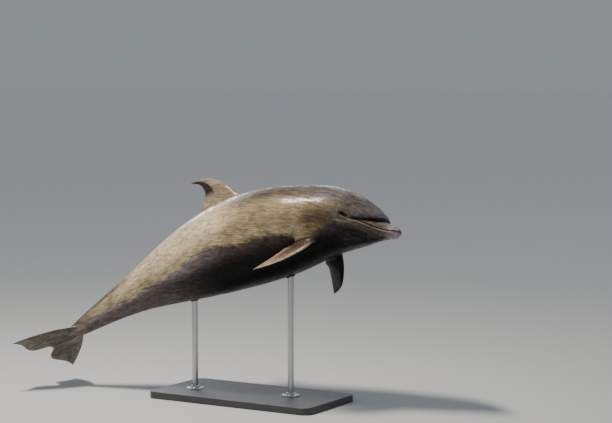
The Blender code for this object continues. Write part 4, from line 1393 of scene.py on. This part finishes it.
VIEW_ANGLE = math.radians(20.0)
VIEW_BEARING = math.radians(31.0)
VIEW_PITCH = math.radians(4.203)
VIEW_DISTANCE = 10.844
VIEW_SHARE = 0.292
VIEW_OFFSET = (-0.00922, -0.01066)     # of the aimed-at place in the frame, over the distance


def make_floor():
    """A pale floor, a little darker round the model."""
    mesh = bpy.data.meshes.new("floor")
    corners = [(FLOOR_REACH * x, FLOOR_REACH * y, 0) for x, y in ((-1, -1), (1, -1), (1, 1), (-1, 1))]
    mesh.from_pydata(corners, [], [(0, 1, 2, 3)])
    material, n = new_finish("floor_pale", Roughness=0.8)
    away = n.add("ShaderNodeVectorMath", {0: n.coordinates()}, operation="LENGTH").outputs[1]
    n.shade(Base_Color=n.mixed(n.ramp(away, 2.0, 14.0), FLOOR_NEAR, FLOOR_FAR))
    mesh.materials.append(material)
    floor = bpy.data.objects.new("floor", mesh)
    bpy.context.scene.collection.objects.link(floor)
    return floor


def make_light(name, place_at, aim, size, power, colour):
    lamp = bpy.data.lights.new(name, "AREA")
    lamp.shape = "ELLIPSE"
    lamp.size, lamp.size_y = size
    lamp.energy, lamp.color = power, colour
    light = bpy.data.objects.new(name, lamp)
    light.location = place_at
    light.rotation_euler = (Vector(aim) - Vector(place_at)).to_track_quat("-Z", "Y").to_euler()
    light.visible_camera = False
    bpy.context.scene.collection.objects.link(light)
    return light


def spare(light, floor):
    """Keep one light off the floor."""
    lit = bpy.data.collections.new(light.name + "_receivers")
    lit.objects.link(floor)
    lit.collection_objects[0].light_linking.link_state = "EXCLUDE"
    light.light_linking.receiver_collection = lit


def make_lights(ahead, right, floor):
    """A warm key over the back, cool lights behind that draw the outline, and a soft fill."""
    middle = Vector(place(0.25, 0.0, 0.0))

    def from_middle(ahead_by, right_by, up_by):
        return middle + ahead * ahead_by + right * right_by + Vector((0, 0, up_by))

    key_place = middle + Vector(KEY_DIRECTION) * KEY_DISTANCE
    make_light("key", key_place, middle, (1.5, 0.55), 400, (1.0, 0.93, 0.82))
    rim = make_light("rim", from_middle(7.0, -3.2, 2.8), middle, (2.4, 0.5), 150, (0.86, 0.93, 1.0))
    back = make_light("back", from_middle(7.0, 0.0, 3.4), middle, (5.0, 1.4), 64, (0.94, 0.95, 1.0))
    fill = make_light("fill", from_middle(-4.5, -2.5, 1.2), middle, (2.5, 2.5), 26, (1.0, 0.95, 0.88))
    fill.visible_glossy = False
    spare(back, floor)
    spare(rim, floor)


def make_world():
    world = bpy.data.worlds.new("studio")
    world.use_nodes = True
    sky = world.node_tree.nodes["Background"]
    sky.inputs["Color"].default_value = (0.80, 0.86, 0.92, 1.0)
    sky.inputs["Strength"].default_value = 0.34
    bpy.context.scene.world = world


def make_camera():
    """A camera to the animal's right, a little above it, looking at its shoulder."""
    ahead = Vector((-math.sin(VIEW_BEARING), math.cos(VIEW_BEARING), 0.0))
    right = Vector((math.cos(VIEW_BEARING), math.sin(VIEW_BEARING), 0.0))
    forward = ahead * math.cos(VIEW_PITCH) - Vector((0, 0, math.sin(VIEW_PITCH)))
    up = ahead * math.sin(VIEW_PITCH) + Vector((0, 0, math.cos(VIEW_PITCH)))
    lens = bpy.data.cameras.new("camera")
    lens.angle = VIEW_ANGLE
    lens.clip_end = 2000.0
    camera = bpy.data.objects.new("camera", lens)
    offset = forward + right * VIEW_OFFSET[0] + up * VIEW_OFFSET[1]
    camera.location = Vector(place(VIEW_SHARE, 0.0, 0.0)) - offset * VIEW_DISTANCE
    camera.rotation_euler = forward.to_track_quat("-Z", "Y").to_euler()
    bpy.context.scene.collection.objects.link(camera)
    bpy.context.scene.camera = camera
    return ahead, right


# ---------------------------------------------------------------- the whole model
make_lights(*make_camera(), make_floor())
make_world()
skin = make_skin(make_skin_finish())
eye_finish = make_eye_finish()
for side_name in SIDES:
    make_eyeball(side_name, eye_finish)
make_stand(skin)
